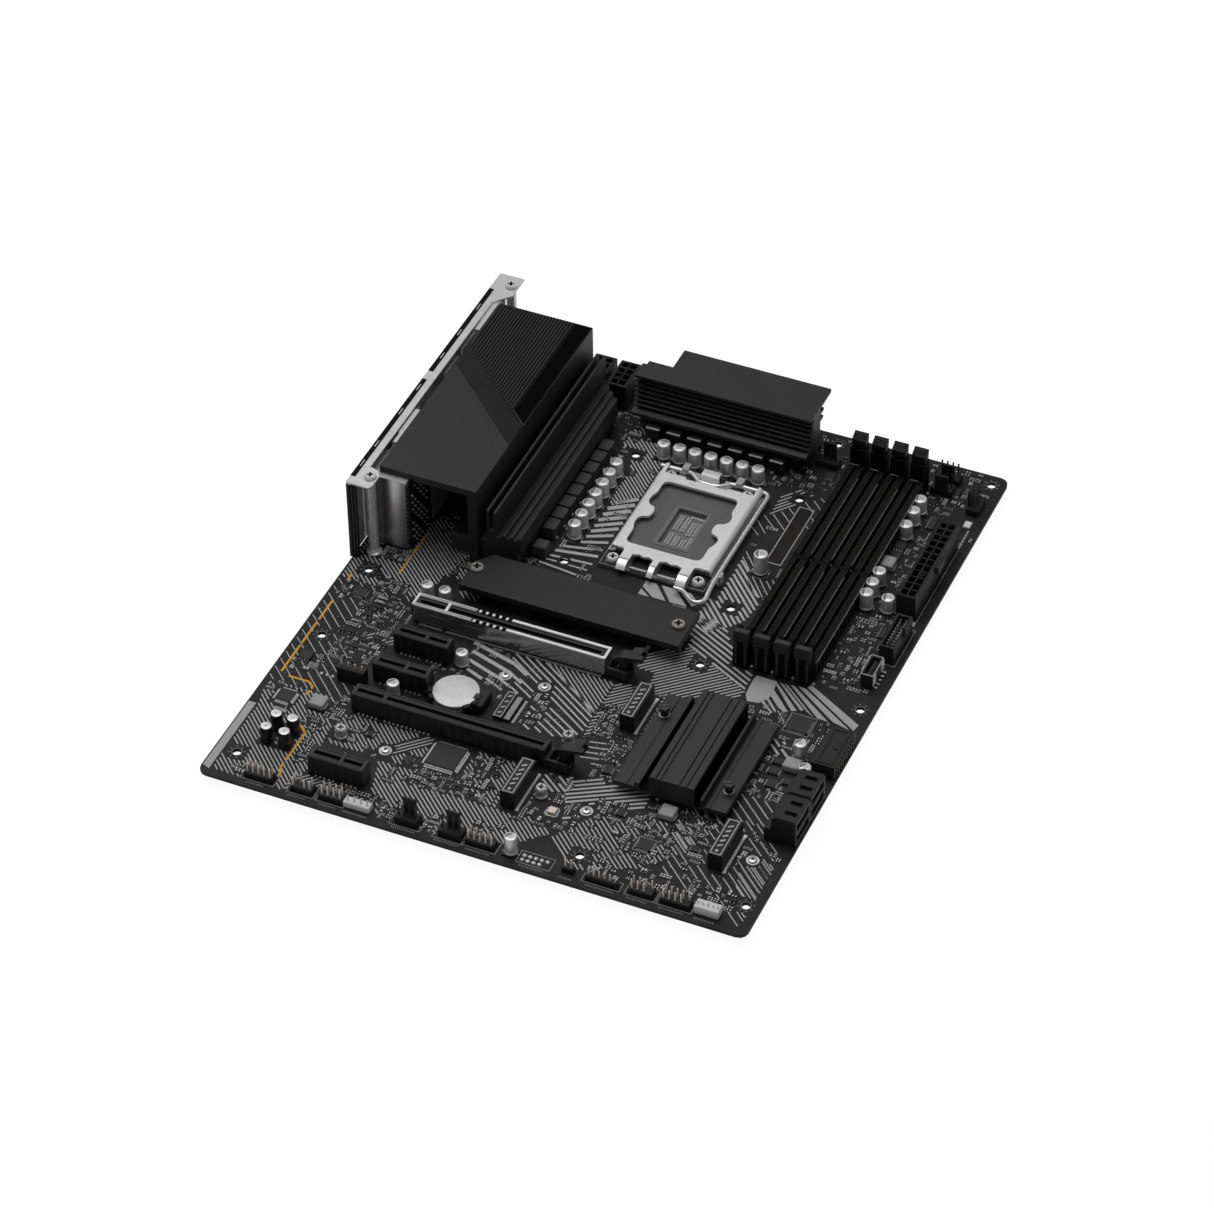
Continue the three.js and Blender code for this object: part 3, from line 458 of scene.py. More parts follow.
# name: dark and light colour (grey or RGB), roughness low and high, metallic, grain per mm,
#       bump strength, fine relief per mm, relief depth in mm[, specular[, texture stretch]]
FINISHES = {
    "black_anodised": (0.018, 0.027, 0.42, 0.52, 0.1, 1.6, 0.25, 9.0, 0.02, 0.42),
    "black_brushed": (0.013, 0.022, 0.38, 0.52, 0.15, 1.1, 0.3, 2.5, 0.015, 0.42, (0.06, 3.5, 1)),
    "shroud_brushed": (0.014, 0.021, 0.40, 0.5, 0.15, 1.0, 0.25, 2.2, 0.012, 0.42,
                       (4.0, 0.05, 0.05)),
    "gloss_black": (0.0008, 0.0015, 0.12, 0.18, 0.0, 0.8, 0.02, 4.0, 0.004, 0.1),
    "moulded_black": (0.0065, 0.011, 0.46, 0.6, 0.0, 2.5, 0.35, 9.0, 0.02, 0.35),
    # near-black for recesses, channels, windows and port insides: painted shade
    "moulded_black_deep": (0.0015, 0.003, 0.6, 0.7, 0.0, 2.5, 0.2, 9.0, 0.01, 0.05),
    "moulded_black_dull": (0.0025, 0.0045, 0.55, 0.65, 0.0, 1.6, 0.15, 5.0, 0.008, 0.08,
                           (1, 0.1, 1)),
    # a lighter copy of the moulded black for raised ridges and rails: painted highlight
    "moulded_black_ridge": (0.020, 0.032, 0.4, 0.5, 0.0, 1.4, 0.15, 5.0, 0.008, 0.4, (1, 0.1, 1)),
    "screw_nickel": (0.72, 0.86, 0.24, 0.34, 0.3, 1.5, 0.03, 6.0, 0.004),
    "screw_warm": ((0.34, 0.30, 0.27), (0.46, 0.42, 0.38), 0.3, 0.4, 0.5, 1.5, 0.03, 6.0, 0.004),
    # light grey for the rims of the port mouths: painted highlight
    "moulding_edge": (0.10, 0.16, 0.4, 0.5, 0.1, 1.5, 0.05, 6.0, 0.004),
    "moulded_black_rail": (0.009, 0.015, 0.36, 0.5, 0.0, 1.2, 0.3, 3.0, 0.015, 0.45, (1, 0.05, 1)),
    "latch_black": (0.006, 0.010, 0.4, 0.52, 0.0, 2.0, 0.3, 8.0, 0.02, 0.35),
    "package_epoxy": (0.022, 0.034, 0.5, 0.64, 0.0, 6.0, 0.5, 14.0, 0.012, 0.3),
    "phenolic_brown": ((0.06, 0.035, 0.025), (0.10, 0.06, 0.045), 0.5, 0.6, 0.0, 4.0, 0.3, 9.0,
                       0.01, 0.3),
    # light metal, also used for thin light bars that are painted highlights
    "lead_frame_light": (0.42, 0.55, 0.3, 0.42, 0.5, 3.0, 0.2, 8.0, 0.008),
    "socket_resin": (0.135, 0.165, 0.5, 0.62, 0.0, 2.5, 0.3, 10.0, 0.012, 0.3),
    "satin_nickel": (0.80, 0.92, 0.32, 0.42, 0.5, 0.8, 0.2, 3.0, 0.012, 0.5, (0.25, 3.0, 1)),
    "slot_shell_steel": (0.42, 0.52, 0.2, 0.28, 0.92, 0.15, 0.03, 1.0, 0.006, 0.5, (0.3, 1, 1)),
    "tinned_steel": (0.52, 0.68, 0.28, 0.4, 0.7, 1.0, 0.12, 5.0, 0.010),
    "panel_steel": (0.62, 0.72, 0.36, 0.44, 0.5, 0.8, 0.04, 2.0, 0.006, 0.5, (0.3, 1.5, 0.3)),
    "bright_steel": (0.76, 0.86, 0.22, 0.30, 0.55, 0.6, 0.02, 2.0, 0.003, 0.5, (1, 1, 0.2)),
    "aluminium_can": (0.60, 0.74, 0.3, 0.42, 0.6, 1.2, 0.12, 2.0, 0.01, 0.5, (6, 6, 0.15)),
    "can_lid": (0.70, 0.86, 0.36, 0.48, 0.45, 2.0, 0.12, 8.0, 0.008),
    "gold_flash": ((0.62, 0.40, 0.17), (0.78, 0.55, 0.27), 0.22, 0.34, 0.95, 3.0, 0.1, 8.0, 0.006),
    # darkened gold for contacts deep in slots and connectors: painted shade
    "slot_contact": ((0.13, 0.105, 0.06), (0.2, 0.16, 0.1), 0.3, 0.4, 0.7, 3.0, 0.1, 8.0, 0.006),
    "contact_dull": (0.15, 0.2, 0.4, 0.5, 0.6, 3.0, 0.15, 6.0, 0.02),
    "pin_alloy": ((0.74, 0.62, 0.54), (0.88, 0.79, 0.72), 0.26, 0.36, 0.25, 3.0, 0.1, 8.0, 0.006),
    "solder": (0.55, 0.82, 0.25, 0.4, 0.55, 2.5, 0.25, 4.0, 0.015),
    "ferrite_grey": (0.30, 0.36, 0.55, 0.68, 0.0, 4.0, 0.45, 12.0, 0.015, 0.3),
    "choke_powder": (0.040, 0.062, 0.5, 0.62, 0.1, 5.0, 0.5, 12.0, 0.02, 0.35),
    "ceramic_tan": ((0.13, 0.105, 0.082), (0.22, 0.18, 0.145), 0.45, 0.58, 0.0, 3.0, 0.2, 9.0,
                    0.008),
    "ceramic_grey": (0.22, 0.32, 0.45, 0.58, 0.0, 3.0, 0.2, 9.0, 0.008),
    "resistor_black": (0.010, 0.018, 0.3, 0.42, 0.0, 4.0, 0.2, 9.0, 0.006),
    "cap_sleeve": (0.006, 0.010, 0.24, 0.34, 0.0, 2.0, 0.08, 6.0, 0.008, 0.55),
    "cell_nickel": (0.57, 0.66, 0.42, 0.52, 0.5, 0.5, 0.06, 5.0, 0.006),
    "moulded_white": (0.58, 0.7, 0.42, 0.55, 0.0, 2.0, 0.25, 8.0, 0.015),
    # light grey for the choke top edges: painted highlight
    "moulded_grey": (0.09, 0.13, 0.42, 0.55, 0.0, 2.0, 0.25, 8.0, 0.015),
    "bare_pad": (0.55, 0.72, 0.3, 0.42, 0.5, 3.0, 0.2, 8.0, 0.008),
    "blackened_steel": (0.030, 0.045, 0.4, 0.52, 0.6, 1.0, 0.2, 7.0, 0.015),
    "package_green": ((0.012, 0.05, 0.028), (0.018, 0.07, 0.04), 0.3, 0.42, 0.0, 3.0, 0.2, 9.0,
                      0.006),
    "moulded_teal": ((0.02, 0.16, 0.22), (0.03, 0.2, 0.27), 0.4, 0.5, 0.0, 2.0, 0.2, 8.0, 0.01),
    "moulded_blue": ((0.02, 0.07, 0.30), (0.03, 0.10, 0.36), 0.4, 0.5, 0.0, 2.0, 0.2, 8.0, 0.01),
    "jack_green": ((0.10, 0.30, 0.05), (0.14, 0.36, 0.07), 0.4, 0.5, 0.0, 2.0, 0.2, 8.0, 0.01),
    "jack_pink": ((0.50, 0.16, 0.2), (0.58, 0.2, 0.25), 0.4, 0.5, 0.0, 2.0, 0.2, 8.0, 0.01),
}
board_mask()
ink("print_grey", dark=0.37, light=0.48)
ink("print_light", dark=0.34, light=0.45, dots=True)
ink("print_orange", dark=(0.58, 0.262, 0.018), light=(0.77, 0.375, 0.032))
ink("print_black", dark=(0.006, 0.003, 0.003), light=(0.012, 0.004, 0.004), rough=0.4)
ink("can_mark", dark=0.13, light=0.2)
for name, row in FINISHES.items():
    surface(name, *row)
tinplate_with_painted_reflections()


# ---------------------------------------------------------------- CAD nodes: finish, edges
def dress(names, finish, bevel, segments=2):
    for name in names.split():
        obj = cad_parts[name]
        if not obj.material_slots:
            obj.data.materials.append(materials[finish])
        for slot in obj.material_slots:
            slot.link = "OBJECT"
            slot.material = materials[finish]
        if bevel:
            obj.modifiers.new("weld", "WELD").merge_threshold = 2e-6
            round_edges(obj, bevel, segments, flat_below=0.6, edge_above=38)


dress("pcb", "solder_mask", 0.0)
dress("io_shield", "panel_steel", 0.12)
dress("audio_jack_stack lan_usb_stack usb_stack_lower display_port_stack wifi_antenna_block "
      "usb_stack_upper", "tinned_steel", 0.2)
dress("io_shroud", "shroud_brushed", 0.3, 3)
dress("vrm_heatsink_left vrm_heatsink_top chipset_heatsink", "black_anodised", 0.22)
dress("m2_heatsink", "black_brushed", 0.3, 3)
dress("socket_body", "socket_resin", 0.1)
dress("socket_frame", "tinned_steel", 0.15)
dress("socket_backplate", "blackened_steel", 0.2)
dress("chipset", "package_green", 0.08)
dress("pcie_x16_slot_1 pcie_x16_slot_2 pcie_x1_slot_1 pcie_x1_slot_2 pcie_x1_slot_3",
      "moulded_black_rail", 0.14)
dress("pcie_latch_1 pcie_latch_2", "latch_black", 0.25)
dress("dimm_slot_1 dimm_slot_2 dimm_slot_3 dimm_slot_4", "moulded_black_dull", 0.16)
dress("dimm_latch_1 dimm_latch_2 dimm_latch_3 dimm_latch_4", "latch_black", 0.22)
dress("eps_connector_1 eps_connector_2 atx_connector usb3_header usb3_edge_header sata_ports_1 "
      "sata_ports_2 m2_connector_1 m2_connector_2 m2_connector_3", "moulded_black", 0.16)
dress("usb_c_header", "blackened_steel", 0.15)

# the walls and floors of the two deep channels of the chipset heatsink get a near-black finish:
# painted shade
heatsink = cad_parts["chipset_heatsink"]
heatsink.data.materials.append(materials["moulded_black_deep"])
heatsink.material_slots[1].link = "OBJECT"
heatsink.material_slots[1].material = materials["moulded_black_deep"]
for face in heatsink.data.polygons:
    centre = heatsink.matrix_world @ face.center
    x = centre.x * 1000 + CENTRE_X
    in_channel = 173.7 < x < 178.05 or 197.95 < x < 200.7
    if abs(face.normal.y) < 0.5 and centre.z < 0.0135 and in_channel:
        face.material_index = 1

# ---------------------------------------------------------------- places already taken
taken = []  # (x0, x1, y0, y1) that printed lines and small parts keep off


def reserve(x0, x1, y0, y1, margin=0.5):
    taken.append((x0 - margin, x1 + margin, y0 - margin, y1 + margin))


def reserve_round(x, y, half, margin):
    reserve(x - half, x + half, y - half, y + half, margin)


def is_free(x0, x1, y0, y1):
    return all(x1 <= a or x0 >= b or y1 <= c or y0 >= d for a, b, c, d in taken)


RAISED = ("pcb io_shield io_shroud m2_heatsink vrm_heatsink_left vrm_heatsink_top "
          "chipset_heatsink load_lever load_plate socket_backplate").split()
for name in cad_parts:
    low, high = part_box(name)
    if name not in RAISED and not name.startswith("chipset_pin"):
        reserve(low.x * 1000 + CENTRE_X, high.x * 1000 + CENTRE_X,
                low.y * 1000 + CENTRE_Y, high.y * 1000 + CENTRE_Y, 0.7)
BOARD_HOLES = [(10.16, 16.51), (10.16, 95.25), (10.16, 140.97), (10.16, 298.45),
               (165.1, 16.51), (165.1, 140.97), (165.1, 298.45),
               (237.49, 16.51), (237.49, 140.97), (237.49, 298.45)]
COOLER_HOLES = [(SOCKET_X + i * 39, SOCKET_Y + j * 39) for i in (-1, 1) for j in (-1, 1)]
for x, y in BOARD_HOLES:
    reserve_round(x, y, 3.6, 0.3)
reserve(164.6, 173.4, 211.8, 252.8)
for x, y in COOLER_HOLES:
    reserve_round(x, y, 3.2, 0.2)

# a thin ring and eight solder bumps round each mounting hole
part = Mesh()
for x, y in BOARD_HOLES:
    part.annulus(x, y, 2.2, 1.99, 28, TOP, TOP + 0.04)
    for k in range(8):
        a = math.radians(22.5 + 45 * k)
        part.lathe(x + 3.25 * math.cos(a), y + 3.25 * math.sin(a),
                   [(0.34, TOP), (0.28, TOP + 0.1), (0.12, TOP + 0.15)], 8)
put("mounting_hole_rings", part, "ceramic_grey")


# ---------------------------------------------------------------- capacitors
def can(part, x, y, top, radius, mark_angle):
    """Surface-mount can. Finishes: seat, can, lid, mark, foot."""
    seat = radius + 0.28
    cut = seat * 0.62
    outline = [(x - seat, y - seat), (x + cut, y - seat), (x + seat, y - cut),
               (x + seat, y + cut), (x + cut, y + seat), (x - seat, y + seat)]
    part.plate(fillet(outline, 0.3, 2), [], TOP + 0.1, TOP + 0.75, 0)
    crimp = [(0.99, 0.6), (1.06, 0.72), (1.06, 0.95), (0.97, 1.15), (0.9, 1.55), (0.9, 1.8),
             (0.985, 2.1), (1, 2.5)]
    shoulder = [(1, -0.55), (0.985, -0.25), (0.93, -0.06), (0.88, 0), (0.84, -0.02)]
    part.lathe(x, y, scaled(radius, TOP, crimp) + scaled(radius, top, shoulder), 28, 1)
    part.lathe(x, y, scaled(radius, top, [(0.85, -0.3), (0.85, -0.05), (0.8, 0.01)]), 28, 2)
    patch = []
    for i in range(15):
        a = math.radians(mark_angle - 68 + 136 * i / 14)
        patch.append((x + radius * 0.8 * math.cos(a), y + radius * 0.8 * math.sin(a)))
    part.plate(patch, [], top, top + 0.03, 3)
    c, s = math.cos(math.radians(mark_angle)), math.sin(math.radians(mark_angle))
    for k in range(3):
        shift = radius * (-0.42 + 0.26 * k)
        cx, cy = x + shift * c, y + shift * s
        half = radius * (0.42 if k else 0.3)
        part.strip((cx - half * s, cy + half * c), (cx + half * s, cy - half * c),
                   radius * 0.1, top - 0.01, top + 0.03, 3)
    for side in (-1, 1):  # the foot on the -x side stays a plain box
        part.box(x + side * (radius - 0.2), x + side * (radius + 0.75), y - 0.35, y + 0.35,
                 TOP, TOP + 0.22, 0.04, 4)
    reserve(x - radius - 0.6, x + radius + 0.6, y - radius - 0.4, y + radius + 0.4, 0.2)


LEFT_CANS = [(83.2, 195.3 + 7.53 * i) for i in range(7)]
REAR_CANS = [(97.4 + 7.5 * i, 260.2) for i in range(7)]
TALL_CAN = (166.2, 205.4)
# name: radius, direction of the lid mark in degrees, (x, y, top) of each can
CANS = {
    "capacitor_row_left": (2.95, 180, [(x, y, 9.7) for x, y in LEFT_CANS]),
    "capacitor_row_top": (2.95, 90, [(x, y, 9.65) for x, y in REAR_CANS]),
    "capacitor_tall": (3.15, 200, [(*TALL_CAN, 12.0)]),
    "capacitor_row_memory_upper": (2.95, 190, [
        (215.0172, 269.3468, 9.3), (215.0172, 261.1948, 9.3), (215.3154, 251.2534, 9.3)]),
    "capacitor_row_memory_lower": (2.95, 190, [
        (215.8125, 218.1485, 9.3), (215.6137, 210.4936, 9.3), (216.2458, 201.9486, 10.4),
        (225.5551, 203.3358, 9.3)]),
    "capacitors_spread": (2.75, 150, [
        (41.1703, 135.0605, 8.6), (49.6251, 134.8616, 8.6), (54.7019, 72.9960, 8.8),
        (73.0995, 101.6394, 8.6), (138.8593, 7.2745, 10.6), (225.3067, 104.0118, 10.2),
        (231.7271, 93.0854, 8.8)]),
}
for name, (radius, mark_angle, places) in CANS.items():
    part = Mesh()
    for place in places:
        can(part, *place, radius, mark_angle)
    put(name, part, "cap_sleeve aluminium_can can_lid can_mark solder")

# audio capacitors: black sleeves, bright scored lids
part = Mesh()
radius, top = 2.75, 9.6
for x, y in ((18.3, 28.0), (26.7, 28.0), (18.8, 36.5), (26.4, 36.5)):
    part.lathe(x, y, scaled(radius, TOP, [(0.96, 0.05), (1, 0.4), (1, 0.9), (0.94, 1.3), (1, 1.8)])
               + scaled(radius, top, [(1, -0.6), (0.97, -0.2), (0.9, 0), (0.84, 0)]), 28, 0)
    part.lathe(x, y, scaled(radius, top, [(0.86, -0.4), (0.86, -0.06), (0.8, 0.04), (0.3, 0.05)]),
               28, 1)
    for k in range(3):
        a = math.radians(20 + 60 * k)
        dx, dy = radius * 0.55 * math.cos(a), radius * 0.55 * math.sin(a)
        part.strip((x - dx, y - dy), (x + dx, y + dy), 0.12, top + 0.03, top + 0.07, 2)
    reserve_round(x, y, radius, 0.3)
put("audio_capacitors", part, "cap_sleeve can_lid can_mark")

# ---------------------------------------------------------------- power-stage chokes
part = Mesh()
for i in range(8):
    y = 189.2 + 8.33 * i
    # the two thin light-grey strips along each top's +x edge and near edge are painted highlights
    part.boxes([
        (70.4, 76.4, 0, 7.3, TOP + 0.1, 8.3, 0.45, 0), (71.1, 75.7, 0.7, 6.6, 8.2, 8.42, 0.12, 0),
        (76.0, 76.3, 0.8, 6.6, 8.0, 8.34, 0.06, 2), (71.0, 75.8, 0.08, 0.36, 8.0, 8.34, 0.06, 2),
        (69.9, 70.7, 1.2, 2.8, TOP, 2.6, 0.1, 1), (76.1, 76.9, 1.2, 2.8, TOP, 2.6, 0.1, 1)], y=y)
    reserve(69.5, 77, y, y + 7.3, 0.2)
part.box(71.4, 77.6, 176.6, 182.6, TOP + 0.1, 7.6, 0.4, 0)
reserve(71.4, 77.6, 176.6, 182.6)
put("choke_row_left", part, "choke_powder solder moulded_grey")
part = Mesh()
for i in range(7):
    x = 85.0 + 9.83 * i
    part.boxes([(0, 6.9, 268.5, 275.2, TOP + 0.1, 8.2, 0.35, 0),
                (0.2, 6.6, 268.3, 269.35, 8.1, 8.5, 0.1, 1),
                (1.0, 2.6, 267.9, 268.9, TOP, 2.6, 0.1, 1)], x)
    reserve(x, x + 6.9, 268, 276, 0.2)
put("choke_row_top", part, "moulded_black lead_frame_light")
# flat packages beyond each choke row
part = Mesh()
for i in range(8):
    y = 190.4 + 8.33 * i
    part.box(63.2, 68.6, y, y + 5.2, TOP + 0.05, 2.6, 0.08, 0)
    for k in range(6):
        part.box(68.5, 69.0, y + 0.4 + 0.8 * k, y + 0.8 + 0.8 * k, TOP, 1.9, 0.0, 1)
for i in range(7):
    x = 85.4 + 9.9 * i
    part.box(x, x + 5.2, 277.4, 283.0, TOP + 0.05, 2.6, 0.08, 0)
put("power_stages", part, "package_epoxy solder")


# ---------------------------------------------------------------- integrated circuits
def chip(part, x, y, width, depth, thick, leads, pitch, reach, lead_width):
    """Package centred at x, y, with leads on the -x, +x, -y, +y sides."""
    base = TOP + 0.12
    top = base + thick
    part.box(x - width / 2, x + width / 2, y - depth / 2, y + depth / 2, base, top, 0.14, 0)
    part.lathe(x - width / 2 + 1.0, y + depth / 2 - 1.0,
               [(0.32, top - 0.05), (0.32, top + 0.015)], 10, 0)
    rooms = []
    for side, count in enumerate(leads):
        sign = 1 if side % 2 else -1
        centre, half, cross = (x, width / 2, y) if side < 2 else (y, depth / 2, x)
        foot = sorted((centre + sign * (half - 0.05), centre + sign * (half + reach)))
        knee = sorted((centre + sign * (half - 0.05), centre + sign * (half + reach * 0.42)))
        for i in range(count):
            middle = cross + (i - (count - 1) / 2) * pitch
            breadth = (middle - lead_width / 2, middle + lead_width / 2)
            for run, z0, z1, chamfer in ((foot, TOP, TOP + 0.16, 0.03),
                                         (knee, TOP + 0.1, base + thick * 0.55, 0.04)):
                spans = (*run, *breadth) if side < 2 else (*breadth, *run)
                part.box(*spans, z0, z1, chamfer, 1)
        rooms.append(reach + 0.3 if count else 0.3)
    reserve(x - width / 2 - rooms[0], x + width / 2 + rooms[1],
            y - depth / 2 - rooms[2], y + depth / 2 + rooms[3], 0.1)


# x, y, width, depth, thickness, leads per side, lead pitch, reach, width
FLAT_PACKS = [
    (91.2, 46.9, 13.6, 13.6, 1.35, (30, 30, 30, 30), 0.43, 1.4, 0.3),
    (13.6, 54.6, 7.2, 7.2, 1.0, (11, 11, 11, 11), 0.58, 1.2, 0.38),
]
SMALL_PACKAGES = [
    (217.6, 122.6, 9.8, 9.8, 0.85, (16, 16, 16, 16), 0.52, 0.4, 0.26),
    (187.0, 32.2, 6.4, 6.4, 0.75, (10, 10, 10, 10), 0.52, 0.45, 0.26),
    (13.8, 125.6, 5.6, 5.6, 0.8, (8, 8, 8, 8), 0.55, 0.4, 0.26),
    (10.2, 80.6, 5.4, 4.6, 0.9, (0, 0, 4, 4), 1.2, 0.7, 0.4),
    (170.6, 45.6, 3.4, 4.4, 0.8, (5, 5, 0, 0), 0.65, 0.6, 0.3),
    (155.6, 66.6, 3.6, 5.2, 0.8, (6, 6, 0, 0), 0.65, 0.6, 0.3),
    (215.4, 244.6, 5.0, 5.2, 0.9, (0, 0, 4, 4), 1.15, 0.8, 0.4),
    (215.6, 237.4, 5.4, 4.8, 0.8, (0, 0, 6, 0), 0.8, 0.5, 0.3),
    (224.6, 287.4, 5.0, 4.4, 0.9, (0, 0, 5, 0), 1.0, 1.0, 0.4),
    (220.4, 85.0, 4.4, 4.8, 0.9, (6, 6, 0, 0), 0.65, 0.6, 0.3),
    (218.4, 92.4, 4.6, 4.2, 0.9, (4, 4, 0, 0), 0.9, 0.6, 0.4),
    (226.2, 88.4, 4.4, 3.6, 0.9, (4, 4, 0, 0), 0.8, 0.5, 0.4),
    (218.0, 98.2, 4.6, 3.4, 0.9, (4, 4, 0, 0), 0.8, 0.5, 0.4),
    (223.0, 264.0, 3.2, 9.0, 0.9, (11, 0, 0, 0), 0.75, 0.6, 0.3),
    (78.0, 40.2, 3.2, 3.2, 0.8, (4, 4, 4, 4), 0.6, 0.4, 0.3),
    (206.6, 37.4, 3.6, 3.0, 0.8, (3, 3, 0, 0), 0.9, 0.5, 0.4),
    (228.8, 189.0, 2.6, 7.4, 0.8, (9, 0, 0, 0), 0.75, 0.5, 0.3),
    (56.4, 47.6, 2.6, 3.2, 0.7, (3, 3, 0, 0), 0.8, 0.5, 0.35),
    (157.0, 283.4, 4.0, 5.0, 0.8, (6, 6, 0, 0), 0.7, 0.5, 0.3),
    (170.4, 276.2, 4.0, 3.8, 0.8, (0, 0, 5, 5), 0.7, 0.5, 0.3),
]
for name, rows, finishes in (
        ("flat_packs", FLAT_PACKS, "package_epoxy screw_nickel"),
        ("small_packages", SMALL_PACKAGES, "package_epoxy solder")):
    part = Mesh()
    for row in rows:
        chip(part, *row)
    put(name, part, finishes)
part = Mesh()
part.box(142.9, 146.3, 33.5, 36.9, TOP + 0.05, 2.9, 0.2, 0)
for k in range(6):
    shift = 0.72 * k
    for side in (-2.4, 2.4):
        part.box(144.6 + side - 0.5, 144.6 + side + 0.5, 33.0 + shift, 33.35 + shift,
                 TOP, TOP + 0.12, 0.0, 1)
        part.box(142.6 + shift, 142.95 + shift, 35.2 + side - 0.5, 35.2 + side + 0.5,
                 TOP, TOP + 0.12, 0.0, 1)
reserve(141.4, 147.8, 32.0, 38.4)
put("clock_package", part, "pin_alloy solder")

# moulded inductors: x, y, width, depth, top above the laminate
part = Mesh()
for x, y, w, d, top in ((28.6, 55.4, 6.6, 6.6, 3.0), (188.7, 51.7, 6.6, 6.6, 3.2),
                        (224.6, 97.2, 6.8, 6.2, 3.4), (214.9, 230.2, 6.8, 6.8, 3.4),
                        (24.0, 126.0, 3.8, 1.5, 1.2), (24.0, 123.2, 3.8, 1.5, 1.2)):
    part.box(x - w / 2, x + w / 2, y - d / 2, y + d / 2, TOP + 0.15, TOP + top, 0.4, 0)
    for side in (-1, 1):
        end = x + side * w * 0.5
        part.box(end - 0.45, end + 0.45, y - d * 0.3, y + d * 0.3, TOP, TOP + 0.5, 0.06, 1)
    reserve(x - w / 2 - 0.6, x + w / 2 + 0.6, y - d / 2, y + d / 2)
put("moulded_inductors", part, "ferrite_grey solder")


# ---------------------------------------------------------------- screws
def screw(part, x, y, z, radius, height):
    """Pan head with a cross recess, washer face at z. Finishes: metal, recess."""
    arm, half = radius * 0.58, radius * 0.19
    cross = []
    for i in range(4):
        a = math.radians(20 + 90 * i)
        c, s = math.cos(a), math.sin(a)
        for u, v in ((half, -half), (arm, -half), (arm, half)):
            cross.append((x + u * c - v * s, y + u * s + v * c))
    cross.sort(key=lambda p: math.atan2(p[1] - y, p[0] - x))

    def turned(rows, finish=0, capped=True):
        """Lathe from rows of (share of radius, share of height)."""
        profile = [(radius * r, z + height * h) for r, h in rows]
        part.lathe(x, y, profile, 28, finish, capped=capped)

    part.plate(ring(x, y, radius * 0.8, 28), [cross], z + height * 0.55, z + height, 0)
    turned([(0.82, 0), (1, 0.12), (1, 0.5), (0.93, 0.8), (0.8, 0.985), (0.79, 0.56)],
           capped=False)
    turned([(0.8, 0), (0.8, 0.45)])
    # the floor of the cross recess is near-black: painted shade
    turned([(0.72, 0.46), (0.72, 0.6)], finish=1)


for i, (x, y) in enumerate([(106.5, 246.5), (143.0, 246.5), (105.2, 186.2), (145.2, 186.2)], 1):
    part = Mesh()
    screw(part, x, y, 3.45, 2.75, 2.1)
    part.lathe(x, y, [(1.45, -2.1), (1.45, 3.5)], 16, 0)
    put(f"socket_screw_{i}_head", part, "screw_nickel moulded_black_deep",
        replaces=[f"socket_screw_{i}"])
DRIVE_COVER_SCREWS = [(57.6, 150.4), (151.2, 150.4)]
for i, (x, y) in enumerate(DRIVE_COVER_SCREWS, 1):
    part = Mesh()
    screw(part, x, y, 11.0, 3.0, 1.3)
    part.lathe(x, y, [(1.15, 3.4), (1.15, 11.1)], 14, 0)
    put(f"drive_cover_screw_{i}", part, "screw_warm moulded_black_deep",
        replaces=[f"m2_heatsink_screw_{i}"])
for i, (x, y) in enumerate([(7, 153.1), (7, 297.5)], 1):
    part = Mesh()
    screw(part, x, y, 43.1, 2.7, 1.5)
    part.lathe(x, y, [(1.15, 35), (1.15, 43.2)], 14, 0)
    put(f"panel_screw_{i}", part, "screw_nickel moulded_black_deep",
        replaces=[f"io_screw_{i}"])
    part = Mesh()
    part.lathe(x, y, [(2.35, TOP + 0.2), (2.5, TOP + 0.5), (2.5, 3.2), (2.28, 3.5), (2.28, 40.6),
                      (2.5, 41.0), (2.5, 41.8), (1.4, 41.9), (1.4, 34)], 24, 0)
    part.lathe(x, y, [(3.6, TOP + 0.01), (3.4, TOP + 0.35), (2.6, TOP + 0.75)], 24, 1)
    put(f"panel_post_{i}", part, "bright_steel solder", replaces=[f"io_post_{i}"])

# drive standoffs: five low ones, then three tall ones with their screws
part = Mesh()
for x, y in ((92.8, 102.3), (110.8, 102.3), (66.3, 41.2), (157.2, 41.0), (230.2, 41.2)):
    part.annulus(x, y, 2.75, 1.75, 28, TOP, TOP + 0.08)
    part.lathe(x, y, [(1.6, TOP), (1.75, TOP + 0.5), (1.75, TOP + 0.75), (1.45, TOP + 0.9)], 24, 0)
    part.lathe(x, y, [(0.75, TOP + 0.8), (0.75, TOP + 0.95)], 6, 1)
    reserve_round(x, y, 3, 0.2)
for x, y in ((45.4926, 42.2602), (133.6701, 75.7377), (136.4599, 42.3598)):
    part.lathe(x, y, [(2.6, TOP), (2.75, TOP + 0.3), (2.3, TOP + 0.6), (2.05, TOP + 0.9),
                      (2.05, 4.4), (2.6, 4.6), (2.6, 5.0)], 24, 0)
    screw(part, x, y, 5.0, 2.5, 1.4)
    reserve_round(x, y, 3, 0.2)
put("drive_standoffs", part, "tinned_steel blackened_steel")

